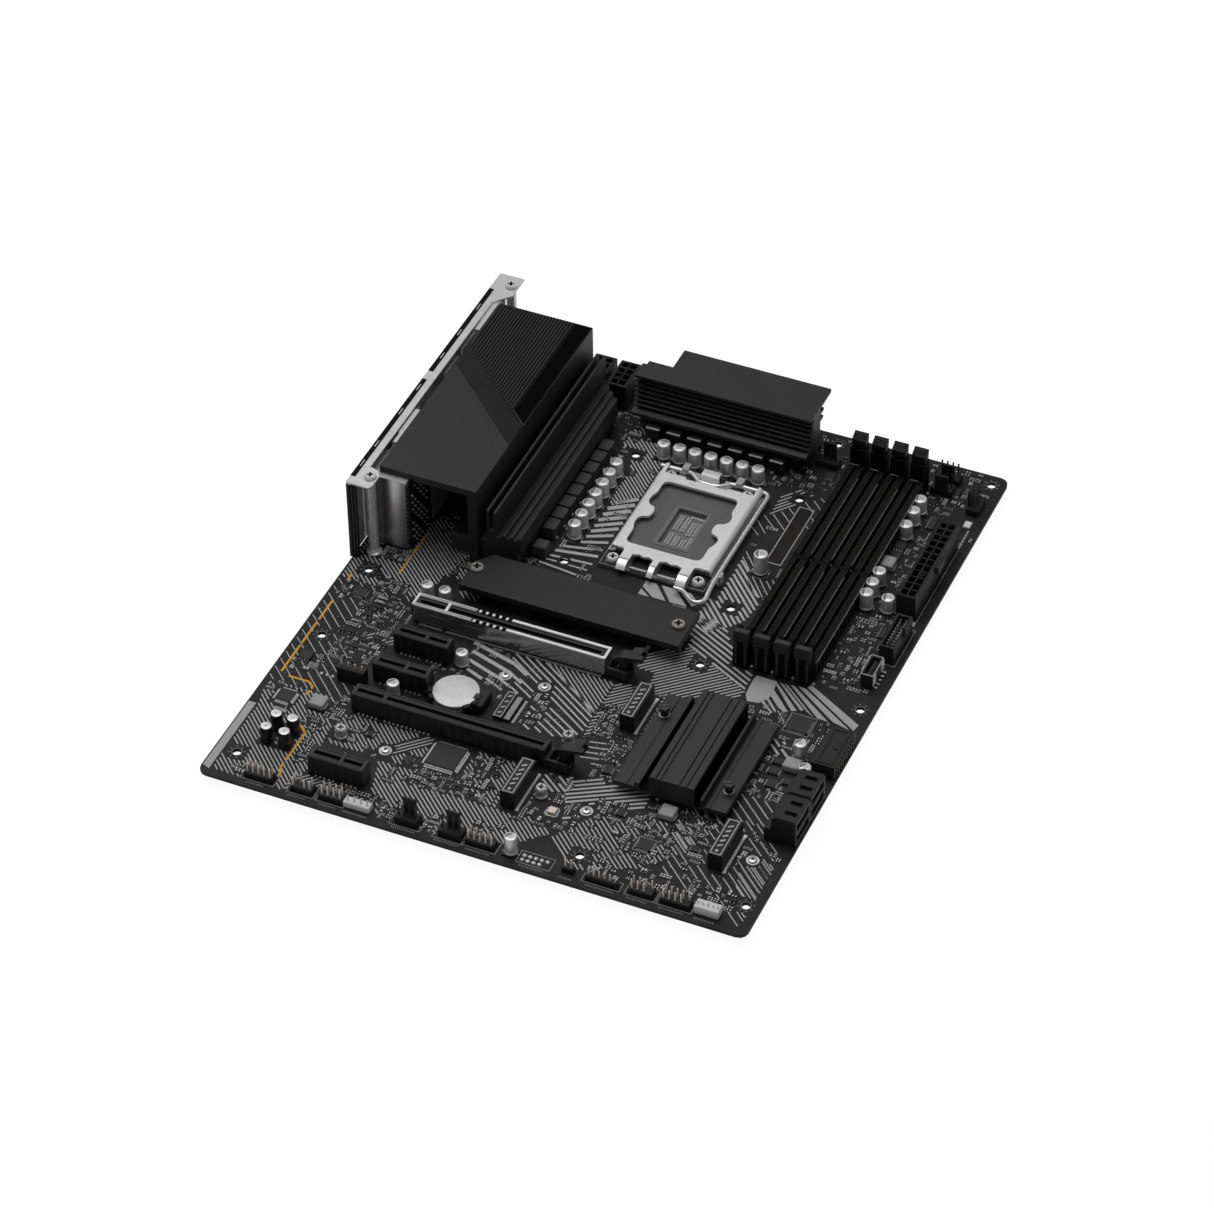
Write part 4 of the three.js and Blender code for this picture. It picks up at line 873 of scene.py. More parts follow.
# spring push pins of the chipset cover
for i, (x, y) in enumerate([(166, 101.0), (208.2, 69.2)], 1):
    part = Mesh()
    part.lathe(x, y, [(1.15, -2.1), (1.2, 7.6)], 16, 0)
    part.lathe(x, y, [(1.9, 7.2), (1.9, 7.6), (1.3, 7.7), (1.3, 10.2), (2.25, 10.35), (2.5, 10.6),
                      (2.5, 11.7), (2.38, 11.95), (2.0, 12.05), (1.9, 11.8), (0.4, 11.8)], 28, 0)
    for k in range(6):
        z = 0.4 * k
        part.lathe(x, y, [(1.55, 7.75 + z), (1.8, 7.88 + z), (1.55, 8.01 + z)], 24, 2)
    part.box(x - 1.9, x + 1.9, y - 0.3, y + 0.3, 11.7, 12.07, 0.05, 0, 35, (x, y))
    part.lathe(x, y, [(2.25, 7.16), (2.3, 7.28), (1.95, 7.42)], 28, 1)
    put(f"chipset_push_pin_{i}", part, "choke_powder lead_frame_light blackened_steel",
        replaces=[f"chipset_pin_{i}"])

# ---------------------------------------------------------------- processor socket
part = Mesh()
for i in range(34):
    for j in range(42):
        x, y = 106.6 + (142.6 - 106.6) * i / 33, 195.2 + (239.6 - 195.2) * j / 41
        if not (116.8 < x < 134.6 and 200.8 < y < 229.8):
            part.box(x - 0.2, x + 0.2, y - 0.3, y + 0.18, 4.38, 4.72)
put("socket_contacts", part, "contact_dull")
part = Mesh()
# columns of parts in the well: x0, x1, then y spans
for x0, x1, runs in ((120.6, 122.7, ((204.0, 213.6), (215.2, 226.0))),
                     (123.9, 126.1, ((204.0, 213.0), (215.2, 226.0))),
                     (127.4, 129.5, ((204.0, 211.6), (213.6, 223.6))),
                     (130.2, 131.8, ((204.0, 213.6), (214.0, 224.0)))):
    for start, end in runs:
        for k in range(int((end - start) / 1.15)):
            part.boxes([(x0, x0 + 0.55, 0, 0.85, 2.42, 2.95, 0.05, 1),
                        (x0 + 0.5, x1 - 0.5, 0, 0.85, 2.42, 2.98, 0.05, 0),
                        (x1 - 0.55, x1, 0, 0.85, 2.42, 2.95, 0.05, 1)], y=start + 1.15 * k)
for k in range(5):
    part.box(125.4 + 1.35 * k, 126.3 + 1.35 * k, 225.0, 226.4, 2.42, 2.9, 0.05, 1)
for x in (112.6, 134.2):
    part.box(x, x + 5, 248.6, 250.9, 3.15, 3.75, 0.1, 2)
put("socket_well_parts", part, "ceramic_grey solder phenolic_brown")

# load plate, (x, y)
PLATE_OUTLINE = fillet([
    (103.5, 191.0), (108.2, 191.0), (109.0, 190.2), (109.0, 184.0), (113.5, 184.0),
    (113.5, 188.2), (116.4, 189.4), (118.6, 188.4), (121.0, 189.2), (123.3, 188.2),
    (123.3, 184.0), (126.2, 184.0), (126.2, 188.2), (129.0, 189.4), (131.4, 188.4),
    (134.0, 189.2), (136.7, 188.2), (136.7, 184.0), (141.5, 184.0), (141.5, 190.2),
    (142.3, 191.0), (147.6, 191.0), (147.6, 251.0), (146.6, 251.0), (146.6, 244.6),
    (134.2, 244.6), (134.2, 243.4), (115.0, 243.4), (115.0, 244.6), (104.5, 244.6),
    (104.5, 251.0), (103.5, 251.0)], 0.4, 3)
PLATE_WINDOW = fillet([
    (107.0, 195.0), (142.3, 195.0), (142.3, 205.0), (143.9, 208.0), (143.9, 211.6),
    (142.2, 213.6), (139.4, 214.2), (138.6, 217.6), (139.4, 221.0), (142.2, 221.8),
    (143.9, 224.0), (143.9, 227.4), (142.3, 230.4), (142.3, 239.3), (107.0, 239.3),
    (107.0, 230.4), (105.7, 227.8), (105.7, 224.0), (107.2, 221.8), (110.0, 221.0),
    (110.9, 217.6), (110.0, 214.2), (107.2, 213.6), (105.7, 211.4), (105.7, 207.8),
    (107.0, 205.0)], 3.4, 7)
# bent tabs at its low-y edge and the hook at its high-y edge, (y, z)
PLATE_TAB = [(184.6, 6.3), (184.6, 7.5), (183.6, 7.5), (181.2, 6.6), (179.9, 5.4), (179.5, 5.0),
             (180.3, 4.0), (181.6, 5.4), (184.0, 6.3)]
PLATE_HOOK = [(243.9, 6.35), (243.9, 7.45), (243.0, 7.45), (243.2, 4.4), (244.0, 3.5),
              (249.2, 3.5), (249.9, 4.3), (250.0, 6.9), (252.2, 6.95), (252.9, 7.3),
              (252.9, 7.9), (252.2, 8.2), (249.4, 8.1), (248.7, 7.6), (248.5, 4.6),
              (244.6, 4.6), (244.2, 6.3)]
part = Mesh()
part.plate(PLATE_OUTLINE, [PLATE_WINDOW], 6.3, 7.5)
for x0, x1 in ((109.0, 113.5), (136.7, 141.5), (123.3, 126.2)):
    part.prism(PLATE_TAB, x0 + 0.15, x1 - 0.15, "x")
part.prism(PLATE_HOOK, 120.2, 128.4, "x")
put("load_plate_skin", part, "satin_nickel", "plate", bevel=0.3, segments=3,
    replaces=["load_plate"])
part = Mesh()
for side, x in ((1, 147.35), (-1, 103.75)):
    arc = [(x + side * 1.5 * math.sin(math.radians(a)), 6.02 + 1.5 * math.cos(math.radians(a)))
           for a in range(0, 91, 10)]
    part.prism(arc + [(x + side * 1.5, 4.5), (x + side * 0.95, 4.5), (x + side * 0.95, 6.0),
                      (x + side * 0.6, 6.35), (x, 6.4)], 191.2, 250.6)
put("load_plate_rolled_sides", part, "satin_nickel", "plate")
# dark sheets on the frame beside the load plate, and three dark steps along its near edge
part = Mesh()
part.box(113.7, 123.1, 183.5, 191.8, 3.12, 3.4, 0.1)
part.box(126.4, 136.5, 183.5, 191.8, 3.12, 3.4, 0.1)
for x0, x1, hole_x in ((100.7, 109.0, 105.2), (141.5, 149.2, 145.2)):
    part.plate(rectangle(x0, x1, 182.7, 192.0), [ring(hole_x, 186.2, 3.0, 20)], 3.12, 3.35)
for k in range(3):
    part.box(100.2, 149.6, 181.55 - 0.4 * k, 181.85 - 0.4 * k, 1.7, 2.5 - 0.3 * k, 0.05)
put("socket_frame_dark_sheets", part, "latch_black")
part = Mesh()
part.plate(fillet(rectangle(103.4, 147.6, 192.4, 243.4), 3.0, 6),
           [fillet(rectangle(104.4, 146.6, 193.3, 242.4), 3.2, 6)], 7.4, 7.62)
put("load_plate_emboss", part, "satin_nickel", "plate", bevel=0.08)

# load lever: centre line of the wire, (x, y, z)
HINGE_Y, HINGE_Z = 251.0, 5.0
LEVER_CRANK = [  # x, then y and z from the hinge line
    (100.4, 0, 0), (106, 0, 0), (112, 0, 0), (115.0, -0.3, 0), (117.6, -2.4, 0.3),
    (120.4, -4.8, 0.6), (124.4, -5.0, 0.6), (128.4, -4.8, 0.6), (131.4, -2.6, 0.3),
    (134.0, -0.3, 0), (137.4, 0, 0), (143, 0, 0), (148.6, 0, 0), (150.9, -0.8, 0),
    (151.7, -3.2, 0)]
LEVER_ARM = [  # x, y, then z from the hinge line
    (151.7, 240, 0), (151.7, 220, 0), (151.7, 200, 0.2), (151.8, 188, 0.3), (152.4, 180, 0.4),
    (152.7, 175.4, 0.4), (150.6, 172.6, 0.4), (147.6, 172.8, 0.3), (144.2, 175.6, 0),
    (141.2, 177.6, 0), (137.4, 177.8, 0)]
part = Mesh()
part.tube([(x, HINGE_Y + y, HINGE_Z + z) for x, y, z in LEVER_CRANK]
          + [(x, y, HINGE_Z + z) for x, y, z in LEVER_ARM], 0.95)
put("load_lever_wire", part, "bright_steel", "lever", replaces=["load_lever"])

# ---------------------------------------------------------------- port shroud
SHROUD_TOP = 42.0


def band_y(x, y_at_7):
    """y at x on a slanted line of the band that passes y_at_7 at x = 7."""
    return y_at_7 - (x - 7) * 0.9462


def band_edge(x0, x1, y_at_7, lift=0.0):
    return [(x0, band_y(x0, y_at_7) + lift), (x1, band_y(x1, y_at_7) + lift)]


part = Mesh()
for x in steps(7.9, 43.6, 1.52):
    part.prism([(x - 0.42, SHROUD_TOP - 0.02), (x + 0.42, SHROUD_TOP - 0.02),
                (x + 0.3, SHROUD_TOP + 0.3), (x - 0.3, SHROUD_TOP + 0.3)],
               band_y(x, 253.4) + 0.9, 285.3)
# the near-black plate between the ribs is painted shade in the grooves
part.plate(band_edge(7.3, 44.0, 253.4, 0.9) + [(44.0, 285.4), (7.3, 285.4)], [],
           SHROUD_TOP - 0.02, SHROUD_TOP + 0.03, 1)
put("shroud_ribs", part, "shroud_brushed moulded_black_dull")
part = Mesh()
for k in range(10):
    height, half = (0.5, 0.34) if k == 0 else (0.3, 0.44)
    start, end = band_edge(7.0, 52.3, 253.6 - 1.46 * k)
    dx, dy = end[0] - start[0], end[1] - start[1]
    length = math.hypot(dx, dy)
    section = ((-half, -0.02), (half, -0.02), (half * 0.55, height), (-half * 0.55, height))
    part.add([(min(max(p[0] - dy / length * offset, 6.8), 52.35), p[1] + dx / length * offset,
               SHROUD_TOP + z) for p in (start, end) for offset, z in section], BAR_FACES)
# the near-black plate between the ridges is painted shade in the grooves
part.plate(band_edge(7.0, 52.3, 239.4) + band_edge(7.0, 52.3, 254.2)[::-1], [],
           SHROUD_TOP - 0.02, SHROUD_TOP + 0.03, 1)
put("shroud_band", part, "shroud_brushed moulded_black_dull")
part = Mesh()
part.plate(band_edge(44.2, 52.0, 254.4, 0.4) + [(52.0, 285.2), (44.2, 285.2)], [],
           SHROUD_TOP - 0.02, SHROUD_TOP + 0.2)
put("shroud_gloss_strip", part, "gloss_black", bevel=0.08)
part = Mesh()
part.boxes([(4.3, 6.5, 264.5, 284.6, 41.2, 41.9, 0.1), (4.3, 6.5, 264.5, 265.2, 36.0, 41.8, 0.1),
            (4.2, 6.4, 186.4, 204.0, 41.0, 41.7, 0.1)])
part.prism([(4.2, 41.0), (5.0, 41.7), (6.4, 41.7), (6.4, 41.0)], 180.0, 186.4)
put("panel_spring_tabs", part, "panel_steel")
part = Mesh()
part.boxes([(-1.4, 0.9, 151.0, 222.6, 43.0, 43.14), (-1.4, 0.9, 228.6, 292.6, 43.0, 43.14),
            (-1.2, 3.7, 146.1, 146.38, 1.4, 41.6)])
for k in range(3):
    part.box(-0.4 + 1.5 * k, -0.1 + 1.5 * k, 145.95, 146.15, 2.0, 41.0, 0.0, 1)
for y in (158.0, 172.0, 196.0, 214.0, 238.0, 256.0, 276.0):
    part.box(-0.3, 0.1, y, y + 4.4, 43.1, 43.3, 0.05, 2)
put("panel_gasket", part, "moulded_black_dull blackened_steel panel_steel")

# ---------------------------------------------------------------- audio block shell
part = Mesh()
part.prism([(5.4, TOP + 0.3), (20.2, TOP + 0.3), (20.2, 38.3), (5.4, 38.3)], 159.35, 159.8)
part.box(5.4, 20.6, 159.35, 163.6, 38.3, 38.75, 0.1, 1)
part.prism([(159.4, 38.7), (163.4, 38.7), (163.4, 36.4), (163.0, 36.4), (163.0, 38.2),
            (159.4, 38.2)], 17.6, 20.6, "x", 1)
for k in range(14):
    z = 4 + 2.4 * k
    part.box(20.0, 20.7, 159.4, 160.0, z, z + 1.2, 0.05, 2)
put("audio_shell_fold", part, "tinplate_folded tinned_steel moulded_black")
part = Mesh()
part.box(20.8, 21.5, 160.4, 178.0, TOP + 0.3, 37.6, 0.1)
for j in range(9):
    for i in range(6):
        if (i * 7 + j * 3) % 4:
            y, z = 2.7 * i, 3.8 * j
            part.box(21.3, 22.4, 162.0 + y, 162.7 + y, 3.4 + z, 4.1 + z, 0.05, 1)
put("audio_block_rear", part, "moulded_black solder")

# ---------------------------------------------------------------- port interiors
part = Mesh()
for z, finish in ((7.6, 1), (20.2, 2), (32.2, 0)):
    for y in (160.2 + 4.9, 178.2 - 4.9):
        for profile in ([(3.6, -2.4), (3.9, -2.2), (3.9, -1.15)],
                        [(3.6, -2.4), (1.75, -2.4), (1.75, 8.0), (1.5, 8.0)]):
            part.lathe(y, z, profile, 24, finish, along_x=True, capped=False)
put("audio_jack_rings", part, "moulded_black jack_pink jack_green")


def tongue(z, start, end, low, high, finish, first, pitch):
    """A port tongue with four contacts on its underside, 1 mm wide."""
    part.box(-0.9, 10.5, start, end, z + low, z + high, 0.1, finish)
    for k in range(4):
        y = first + pitch * k
        part.box(-0.4, 8.0, y, y + 1.0, z + low - 0.15, z + low + 0.05, 0, 2)


part = Mesh()
for z in (3.4, 10.0):
    tongue(z, 184.6, 195.0, 1.1, 2.6, 0, 185.9, 2.3)
for z in (3.6, 11.0, 18.4, 25.8):
    tongue(z, 203.6, 215.0, 1.0, 2.2, 1, 204.8, 2.5)
for z in (3.6, 11.0):
    tongue(z, 262.9, 273.6, 1.2, 2.6, 0, 264.1, 2.3)
part.box(-0.4, 8.6, 223.6, 236.4, 5.6, 6.6, 0.1, 3)
part.box(-0.4, 8.6, 223.6, 236.4, 16.4, 17.4, 0.1, 3)
for k in range(8):
    part.box(0.2, 6.0, 184.5 + 1.25 * k, 185.0 + 1.25 * k, 25.0, 26.4, 0, 2)
part.box(-0.2, 9.6, 265.0, 274.2, 19.4, 19.9, 0.0, 3)
# round port: end wall, collar and plug guide, then the key and six small discs; the collar, key and
# discs are near-black, painted shade
ROUND_Y, ROUND_Z = 269.6, 24.4
for profile, sides, finish in (
        ([(6.15, 9.6), (6.15, 7.6), (5.5, 7.4), (0.3, 7.4)], 32, 3),
        ([(6.12, -1.3), (5.5, -1.4), (5.35, -1.1), (5.35, 7.5)], 32, 4),
        ([(3.9, 7.6), (3.9, 0.9), (3.5, 0.5), (0.3, 0.5)], 28, 3)):
    part.lathe(ROUND_Y, ROUND_Z, profile, sides, finish, along_x=True, capped=False)
part.box(0.42, 1.2, 268.8, 270.4, 25.2, 27.2, 0.05, 4)
for degrees in (-150, -110, -70, -30, 10, 170):
    a = math.radians(degrees)
    part.lathe(ROUND_Y + 2.4 * math.cos(a), ROUND_Z + 2.4 * math.sin(a),
               [(0.5, 0.44), (0.5, 0.7)], 10, 4, along_x=True)
put("port_tongues", part,
    "moulded_teal moulded_blue gold_flash moulded_black moulded_black_deep")
# a near-black sheet over the near face of the port stack: painted shade
part = Mesh()
part.box(2.0, 21.4, 180.9, 181.3, 1.8, 29.4)
put("port_block_painted_shade_panel", part, "moulded_black_dull")
part = Mesh()
for z in (9.4, 22.6):
    part.lathe(250.0, z, [(3.2, -3.4), (3.4, -3.2), (3.4, 0.0)], 6, along_x=True)
    for profile in ([(2.9, -3.2), (2.9, -7.6), (3.1, -7.8), (2.2, -8.2)],
                    [(2.2, -8.2), (2.2, -4.0), (0.6, -4.0), (0.6, -7.0), (0.4, -7.2)]):
        part.lathe(250.0, z, profile, 24, along_x=True, capped=False)
put("antenna_barrels", part, "gold_flash")

# ---------------------------------------------------------------- expansion slots
part = Mesh()
SHELL_X0, SHELL_X1 = 42.0, 131.6
shell_y = SLOT_Y[5]
for side in (-1, 1):
    part.box(SHELL_X0, SHELL_X1 - 0.2, *beside(shell_y, side, 3.5, 3.95), 2.6, 11.2, 0.08, 1)
    # near the ports the rail is folded double, then come five notches, then the plain rail
    for near, far in ((3.45, 3.98), (2.45, 2.95)):
        part.box(SHELL_X0, 69.4, *beside(shell_y, side, near, far), 10.95, 11.7, 0.1, 0)
    for k in range(5):
        x = 70.4 + 3.1 * k
        span = beside(shell_y, side, 2.45, 3.98)
        part.box(x, x + 1.2, *span, 11.0, 11.6, 0.1, 0)
        # the notch floors between the teeth are near-black: painted shade
        part.box(x + 1.2, x + 3.1, *span, 10.9, 11.25, 0.0, 2)
    part.box(85.8, SHELL_X1, *beside(shell_y, side, 2.5, 3.98), 10.95, 11.7, 0.14, 0)
part.boxes([
    (SHELL_X0, SHELL_X0 + 1.1, -3.98, 3.98, 10.95, 11.72, 0.12, 0),
    (SHELL_X0, SHELL_X0 + 0.6, -3.95, 3.95, 2.6, 11.2, 0.08, 1),
    (SHELL_X1 - 1.3, SHELL_X1, -3.98, 3.98, 10.95, 11.72, 0.12, 0),
    (SHELL_X1 - 0.6, SHELL_X1, -3.6, 3.6, 7.6, 11.2, 0.08, 1),
    (56.6, 57.9, -2.6, 2.6, 10.95, 11.66, 0.1, 0),
], y=shell_y)
for x, width in ((50, 8), (66, 9), (84, 12), (104, 14)):
    part.box(x, x + width, shell_y - 4.08, shell_y - 3.9, 4.2, 8.0, 0.06, 1)
put("slot_shell_formed", part, "satin_nickel slot_shell_steel moulded_black_deep",
    replaces=["pcie_slot_1_shell"])

part = Mesh()
for k, end, top in ((5, 129.6, 8.8), (2, 131.2, 9.0), (4, 68.0, 9.0), (3, 68.0, 9.0),
                    (0, 68.0, 9.0)):
    for x in steps(45.2, end - 2, 1.0):
        if not 55.6 < x < 58.8:
            for side in (-1, 1):
                part.box(x - 0.25, x + 0.25, *beside(SLOT_Y[k], side, 0.6, 0.92), 4.4, top)
put("slot_contacts", part, "slot_contact")

part = Mesh()
for k, end in ((2, 131.2), (4, 68.0), (3, 68.0), (0, 68.0)):
    y = SLOT_Y[k]
    for side in (-1, 1):
        for offset, half, top, chamfer in ((2.9, 0.22, 11.62, 0.06), (1.4, 0.18, 11.55, 0.05)):
            middle = y + side * offset
            part.box(43.6, end - 0.6, middle - half, middle + half, 11.3, top, chamfer)
        for x in steps(44.6, end - 1, 4.86):
            part.box(x, x + 0.9, *beside(y, side, 3.58, 3.82), 2.2, 9.6, 0.05)
    for x in (43.2, 56.5, end - 1.6):
        part.box(x, x + 1.5, y - 3.1, y + 3.1, 11.3, 11.6, 0.08)
put("slot_ribs", part, "moulded_black_rail")
part = Mesh()
for k, start, end in ((2, 46.4, 79.5), (4, 46.6, 66), (3, 46.6, 66), (0, 46.6, 66)):
    for x in steps(start, end, 2.0):
        if not 55.8 < x < 57.8:
            part.lathe(x, SLOT_Y[k] - 4.1, [(0.55, TOP), (0.45, TOP + 0.35), (0.2, TOP + 0.6)], 8)
for x in steps(45.4, 129.4, 0.6):
    if not 55.8 < x < 58.0:
        part.box(x, x + 0.32, SLOT_Y[5] - 5.0, SLOT_Y[5] - 3.9, TOP, TOP + 0.2)
for k, end in ((5, 129), (2, 129), (4, 66), (3, 66), (0, 66)):
    for x in steps(46.0, end, 2.0):
        part.lathe(x, SLOT_Y[k] + 4.1, [(0.5, TOP), (0.4, TOP + 0.3), (0.2, TOP + 0.5)], 6)
put("slot_solder_feet", part, "solder")
# raised lines along the slot tops, in the lighter black: painted highlight
part = Mesh()
SLOT_TOP = 11.4
for k, end in ((2, 130.9), (4, 67.8), (3, 67.8), (0, 67.8)):
    y = SLOT_Y[k]
    for side in (-1, 1):
        for offset, half in ((3.32, 0.14), (2.45, 0.1), (1.2, 0.12)):
            middle = y + side * offset
            for x0, x1 in ((44.2, 56.0), (58.6, end)):
                part.box(x0, x1, middle - half, middle + half,
                         SLOT_TOP - 0.05, SLOT_TOP + 0.12, 0.04)
    for x in (43.0, 56.4, end - 1.5):
        part.box(x, x + 1.4, y - 3.6 + 0.15, y + 3.6 - 0.15, SLOT_TOP - 0.05, SLOT_TOP + 0.1, 0.04)
    for i in range(int((end - 46) / 4.1)):
        part.box(46 + 4.1 * i, 46.9 + 4.1 * i, y - 3.6 - 0.14, y - 3.6 + 0.05,
                 3.0, SLOT_TOP - 1.4, 0.04)
put("slot_ridges", part, "moulded_black_ridge")

# ---------------------------------------------------------------- memory slots
part = Mesh()
for x in MEMORY_X:
    for y in steps(148.6, 281, 0.88):
        if not 211.0 < y < 214.4:
            for side in (-1, 1):
                part.box(*beside(x, side, 0.52, 0.83), y - 0.2, y + 0.2, 4.7, 7.2)
put("memory_contacts", part, "slot_contact")
part = Mesh()
for x in MEMORY_X:
    for side in (-1, 1):
        for offset, top, half in ((3.3, 9.9, 0.13), (2.35, 9.8, 0.11), (1.25, 9.9, 0.14)):
            middle = x + side * offset
            for y0, y1 in ((151.3, 211.4), (214.0, 279.1)):
                part.box(middle - half, middle + half, y0, y1, 9.5, top, 0.07, 0)
        for k in range(30):
            y = 152.4 + 4.26 * k
            if abs(y - 212.5) > 2.4 and y < 278:
                part.box(*beside(x, side, 3.58, 3.78), y, y + 1.1, 2.2, 8.8, 0.05, 0)
    # the thin light bars along the +x top edge and across the far end of each slot are painted
    # highlights; the small solder tab beside the key is a painted glint
    part.boxes([
        (3.52, 3.74, 153.0, 207.6, 8.9, 9.45, 0.03, 1), (3.52, 3.74, 216.4, 271.0, 8.9, 9.45, 0.03, 1),
        (3.5, 4.1, 214.9, 215.7, 6.4, 7.4, 0.1, 2), (-3.0, 1.0, 278.9, 279.2, 9.6, 9.95, 0.05, 1),
        # closed end of the fixed tower, with its lip
        (-3.35, 3.35, 145.7, 148.9, 13.0, 20.95, 0.35, 0),
        (-3.45, 3.45, 145.5, 147.3, 20.3, 21.5, 0.3, 0),
        (-2.7, -1.6, 145.5, 145.95, 3.0, 18.6, 0.08, 0),
        (1.6, 2.7, 145.5, 145.95, 3.0, 18.6, 0.08, 0)], x)
    for k in range(3):
        part.box(x - 1.4, x + 1.4, 145.62, 145.9, 4.2 + 4.6 * k, 6.6 + 4.6 * k, 0.05, 3)
put("memory_rails", part, "moulded_black_ridge lead_frame_light solder moulded_black_dull")
# stepped head of the latch and the web below it, (y, z)
LATCH_HEAD = [(280.7, 19.5), (284.6, 19.5), (285.0, 24.3), (283.9, 24.3), (283.8, 23.9),
              (283.2, 23.9), (283.1, 23.5), (282.5, 23.5), (282.4, 23.1), (281.8, 23.1),
              (281.7, 22.7), (280.6, 22.6), (280.5, 20.2)]
LATCH_WEB = [(281.2, 10.2), (281.8, 10.2), (281.8, 19.4), (281.2, 19.4)]
for i, x in enumerate(MEMORY_X, 1):
    part = Mesh()
    part.prism(LATCH_HEAD, x - 3.2, x + 3.2, "x")
    part.prism(LATCH_WEB, x - 1.7, x + 1.7, "x")
    # the five lighter strips on the steps are painted highlights
    for k in range(5):
        part.box(x - 3.25, x + 3.25, 281.0 + 0.78 * k, 281.3 + 0.78 * k,
                 21.9 + 0.45 * k, 23.0 + 0.42 * k, 0.05, 1)
    put(f"memory_latch_head_{i}", part, "latch_black choke_powder",
        f"memory_latch_{i}", bevel=0.12)
part = Mesh()
for x in MEMORY_X:
    for y, radius in ((148.0, 0.75), (213.2, 0.7), (282.4, 0.75)):
        part.lathe(x + 4.3, y, scaled(radius, TOP, [(1, 0), (0.85, 0.4), (0.3, 0.7)]), 10)
put("memory_peg_solder", part, "solder")

# ---------------------------------------------------------------- power connectors
EPS_X = (47.8, 59.6)
EPS_PINS = [(x + 1 + 3.8 * (i + 0.5), 284.0 + 3.95 * (j + 0.5))
            for x in EPS_X for i in range(2) for j in range(4)]
ATX_PINS = [(230.5 + 3.5 * (i + 0.5), 203.0 + 50.6 / 12 * (j + 0.5))
            for i in range(2) for j in range(12)]
part = Mesh()
for pins, top in ((EPS_PINS, 12.4), (ATX_PINS, 11.4)):
    for x, y in pins:
        part.box(x - 0.5, x + 0.5, y - 0.5, y + 0.5, 4.8, top, 0.15)
put("power_pins", part, "tinned_steel")
part = Mesh()
for j in range(13):
    y = 202.6 + (51.4 / 12) * j
    part.box(229.7, 238.3, y - 0.25, y + 0.25, 13.4, 13.85, 0.1)
part.boxes([(233.7, 234.3, 202.4, 254.2, 13.4, 13.85, 0.1),
            (229.55, 230.1, 202.2, 254.4, 13.4, 13.9, 0.1),
            (237.9, 238.45, 202.2, 254.4, 13.4, 13.9, 0.1)])
for x in EPS_X:
    for j in range(5):
        y = 283.5 + 4.2 * j
        part.box(x + 0.3, x + 9.3, y - 0.25, y + 0.25, 14.8, 15.2, 0.1)
    for offset in (0.25, 4.6, 9.0):
        part.box(x + offset, x + offset + 0.45, 283.3, 300.5, 14.8, 15.2, 0.1)
put("power_housings_rims", part, "moulded_black_rail")

# ---------------------------------------------------------------- connectors at the high-x edge
USB_PIN_Y = [174.6 + 1.98 * j for j in range(10)]
DATA_PORT_Y = (54.6, 70.8)
part = Mesh()
for j, y in enumerate(USB_PIN_Y):
    for x in (235.4, 237.8):
        if j or x < 236:
            part.box(x - 0.25, x + 0.25, y - 0.25, y + 0.25, 4, 9.0, 0.05, 1)
for j in range(12):
    part.box(234.0, 235.6, 156.3 + 0.75 * j, 156.7 + 0.75 * j, 6.0, 7.3, 0, 3)
for j in range(9):
    y = 99.6 + 2.2 * j
    part.box(240.6, 243.0, y, y + 0.55, 4.6, 5.1, 0.05, 0)
    part.box(243.2, 243.55, y, y + 0.7, 1.8, 7.6, 0.05, 3)
put("header_contacts", part, "gold_flash bare_pad slot_contact blackened_steel")
part = Mesh()
part.box(233.8, 235.8, 156.0, 166.0, 3.2, 7.2, 0.15, 0)
part.plate(fillet(rectangle(231.9, 237.7, 154.5, 167.5), 0.9, 4),
           [fillet(rectangle(232.2, 237.4, 154.8, 167.2), 0.8, 4)], 8.7, 8.9, 5)
part.box(237.6, 237.8, 154.6, 158.0, 3.0, 8.2, 0.05, 2)
part.box(237.6, 237.8, 164.0, 167.4, 3.0, 8.2, 0.05, 2)
for k in range(5):
    part.box(237.9, 239.1, 155.4 + 2.6 * k, 156.2 + 2.6 * k, TOP, 2.2, 0.05, 2)
for y in DATA_PORT_Y:
    for z in (3.2, 9.2):
        part.box(237.0, 242.6, y + 3.0, y + 12.2, z + 1.3, z + 2.3, 0.1, 0)
        part.box(237.0, 242.6, y + 3.0, y + 4.0, z + 1.3, z + 3.2, 0.1, 0)
    part.prism([(230.0, TOP + 0.06), (233.9, 14.5), (234.2, 14.5), (234.2, TOP + 0.06)],
               y + 0.25, y + 15.15)
    windows = [(236.6, 241.8, y + 3.2 + d, y + 5.4 + d) for d in (0.4, 6.6)]
    part.plate(rectangle(233.8, 243.1, y + 0.3, y + 15.1), [rectangle(*w) for w in windows],
               14.15, 14.9, 0)
    # near-black sheets in the floor of the windows: painted shade
    for window in windows:
        part.box(*window, 14.15, 14.24, 0.0, 3)
    # light-grey frame lines round the port mouths: painted highlights
    for z in (1.9, 7.9, 13.6):
        part.box(243.1, 243.4, y + 0.4, y + 15.0, z, z + 0.35, 0.05, 4)
    for dy in (0.3, 14.8):
        part.box(243.1, 243.4, y + dy, y + dy + 0.35, 1.9, 13.9, 0.05, 4)
    for k in range(14):
        part.box(229.0, 229.5, y + 1.0 + k, y + 1.35 + k, 1.8, 6.6, 0.0, 1)
part.box(236.5, 242.8, 100.0, 118.0, 4.4, 5.4, 0.1, 0)
part.plate(rectangle(234.0, 241.6, 98.2, 119.8),
           [[(235.2, 99.4), (240.6, 99.4), (240.6, 107.6), (238.6, 107.6), (238.6, 110.4),
             (240.6, 110.4), (240.6, 118.6), (235.2, 118.6)]], 8.55, 8.95, 0)
put("connector_tongues", part,
    "moulded_black solder satin_nickel moulded_black_deep moulding_edge lead_frame_light")

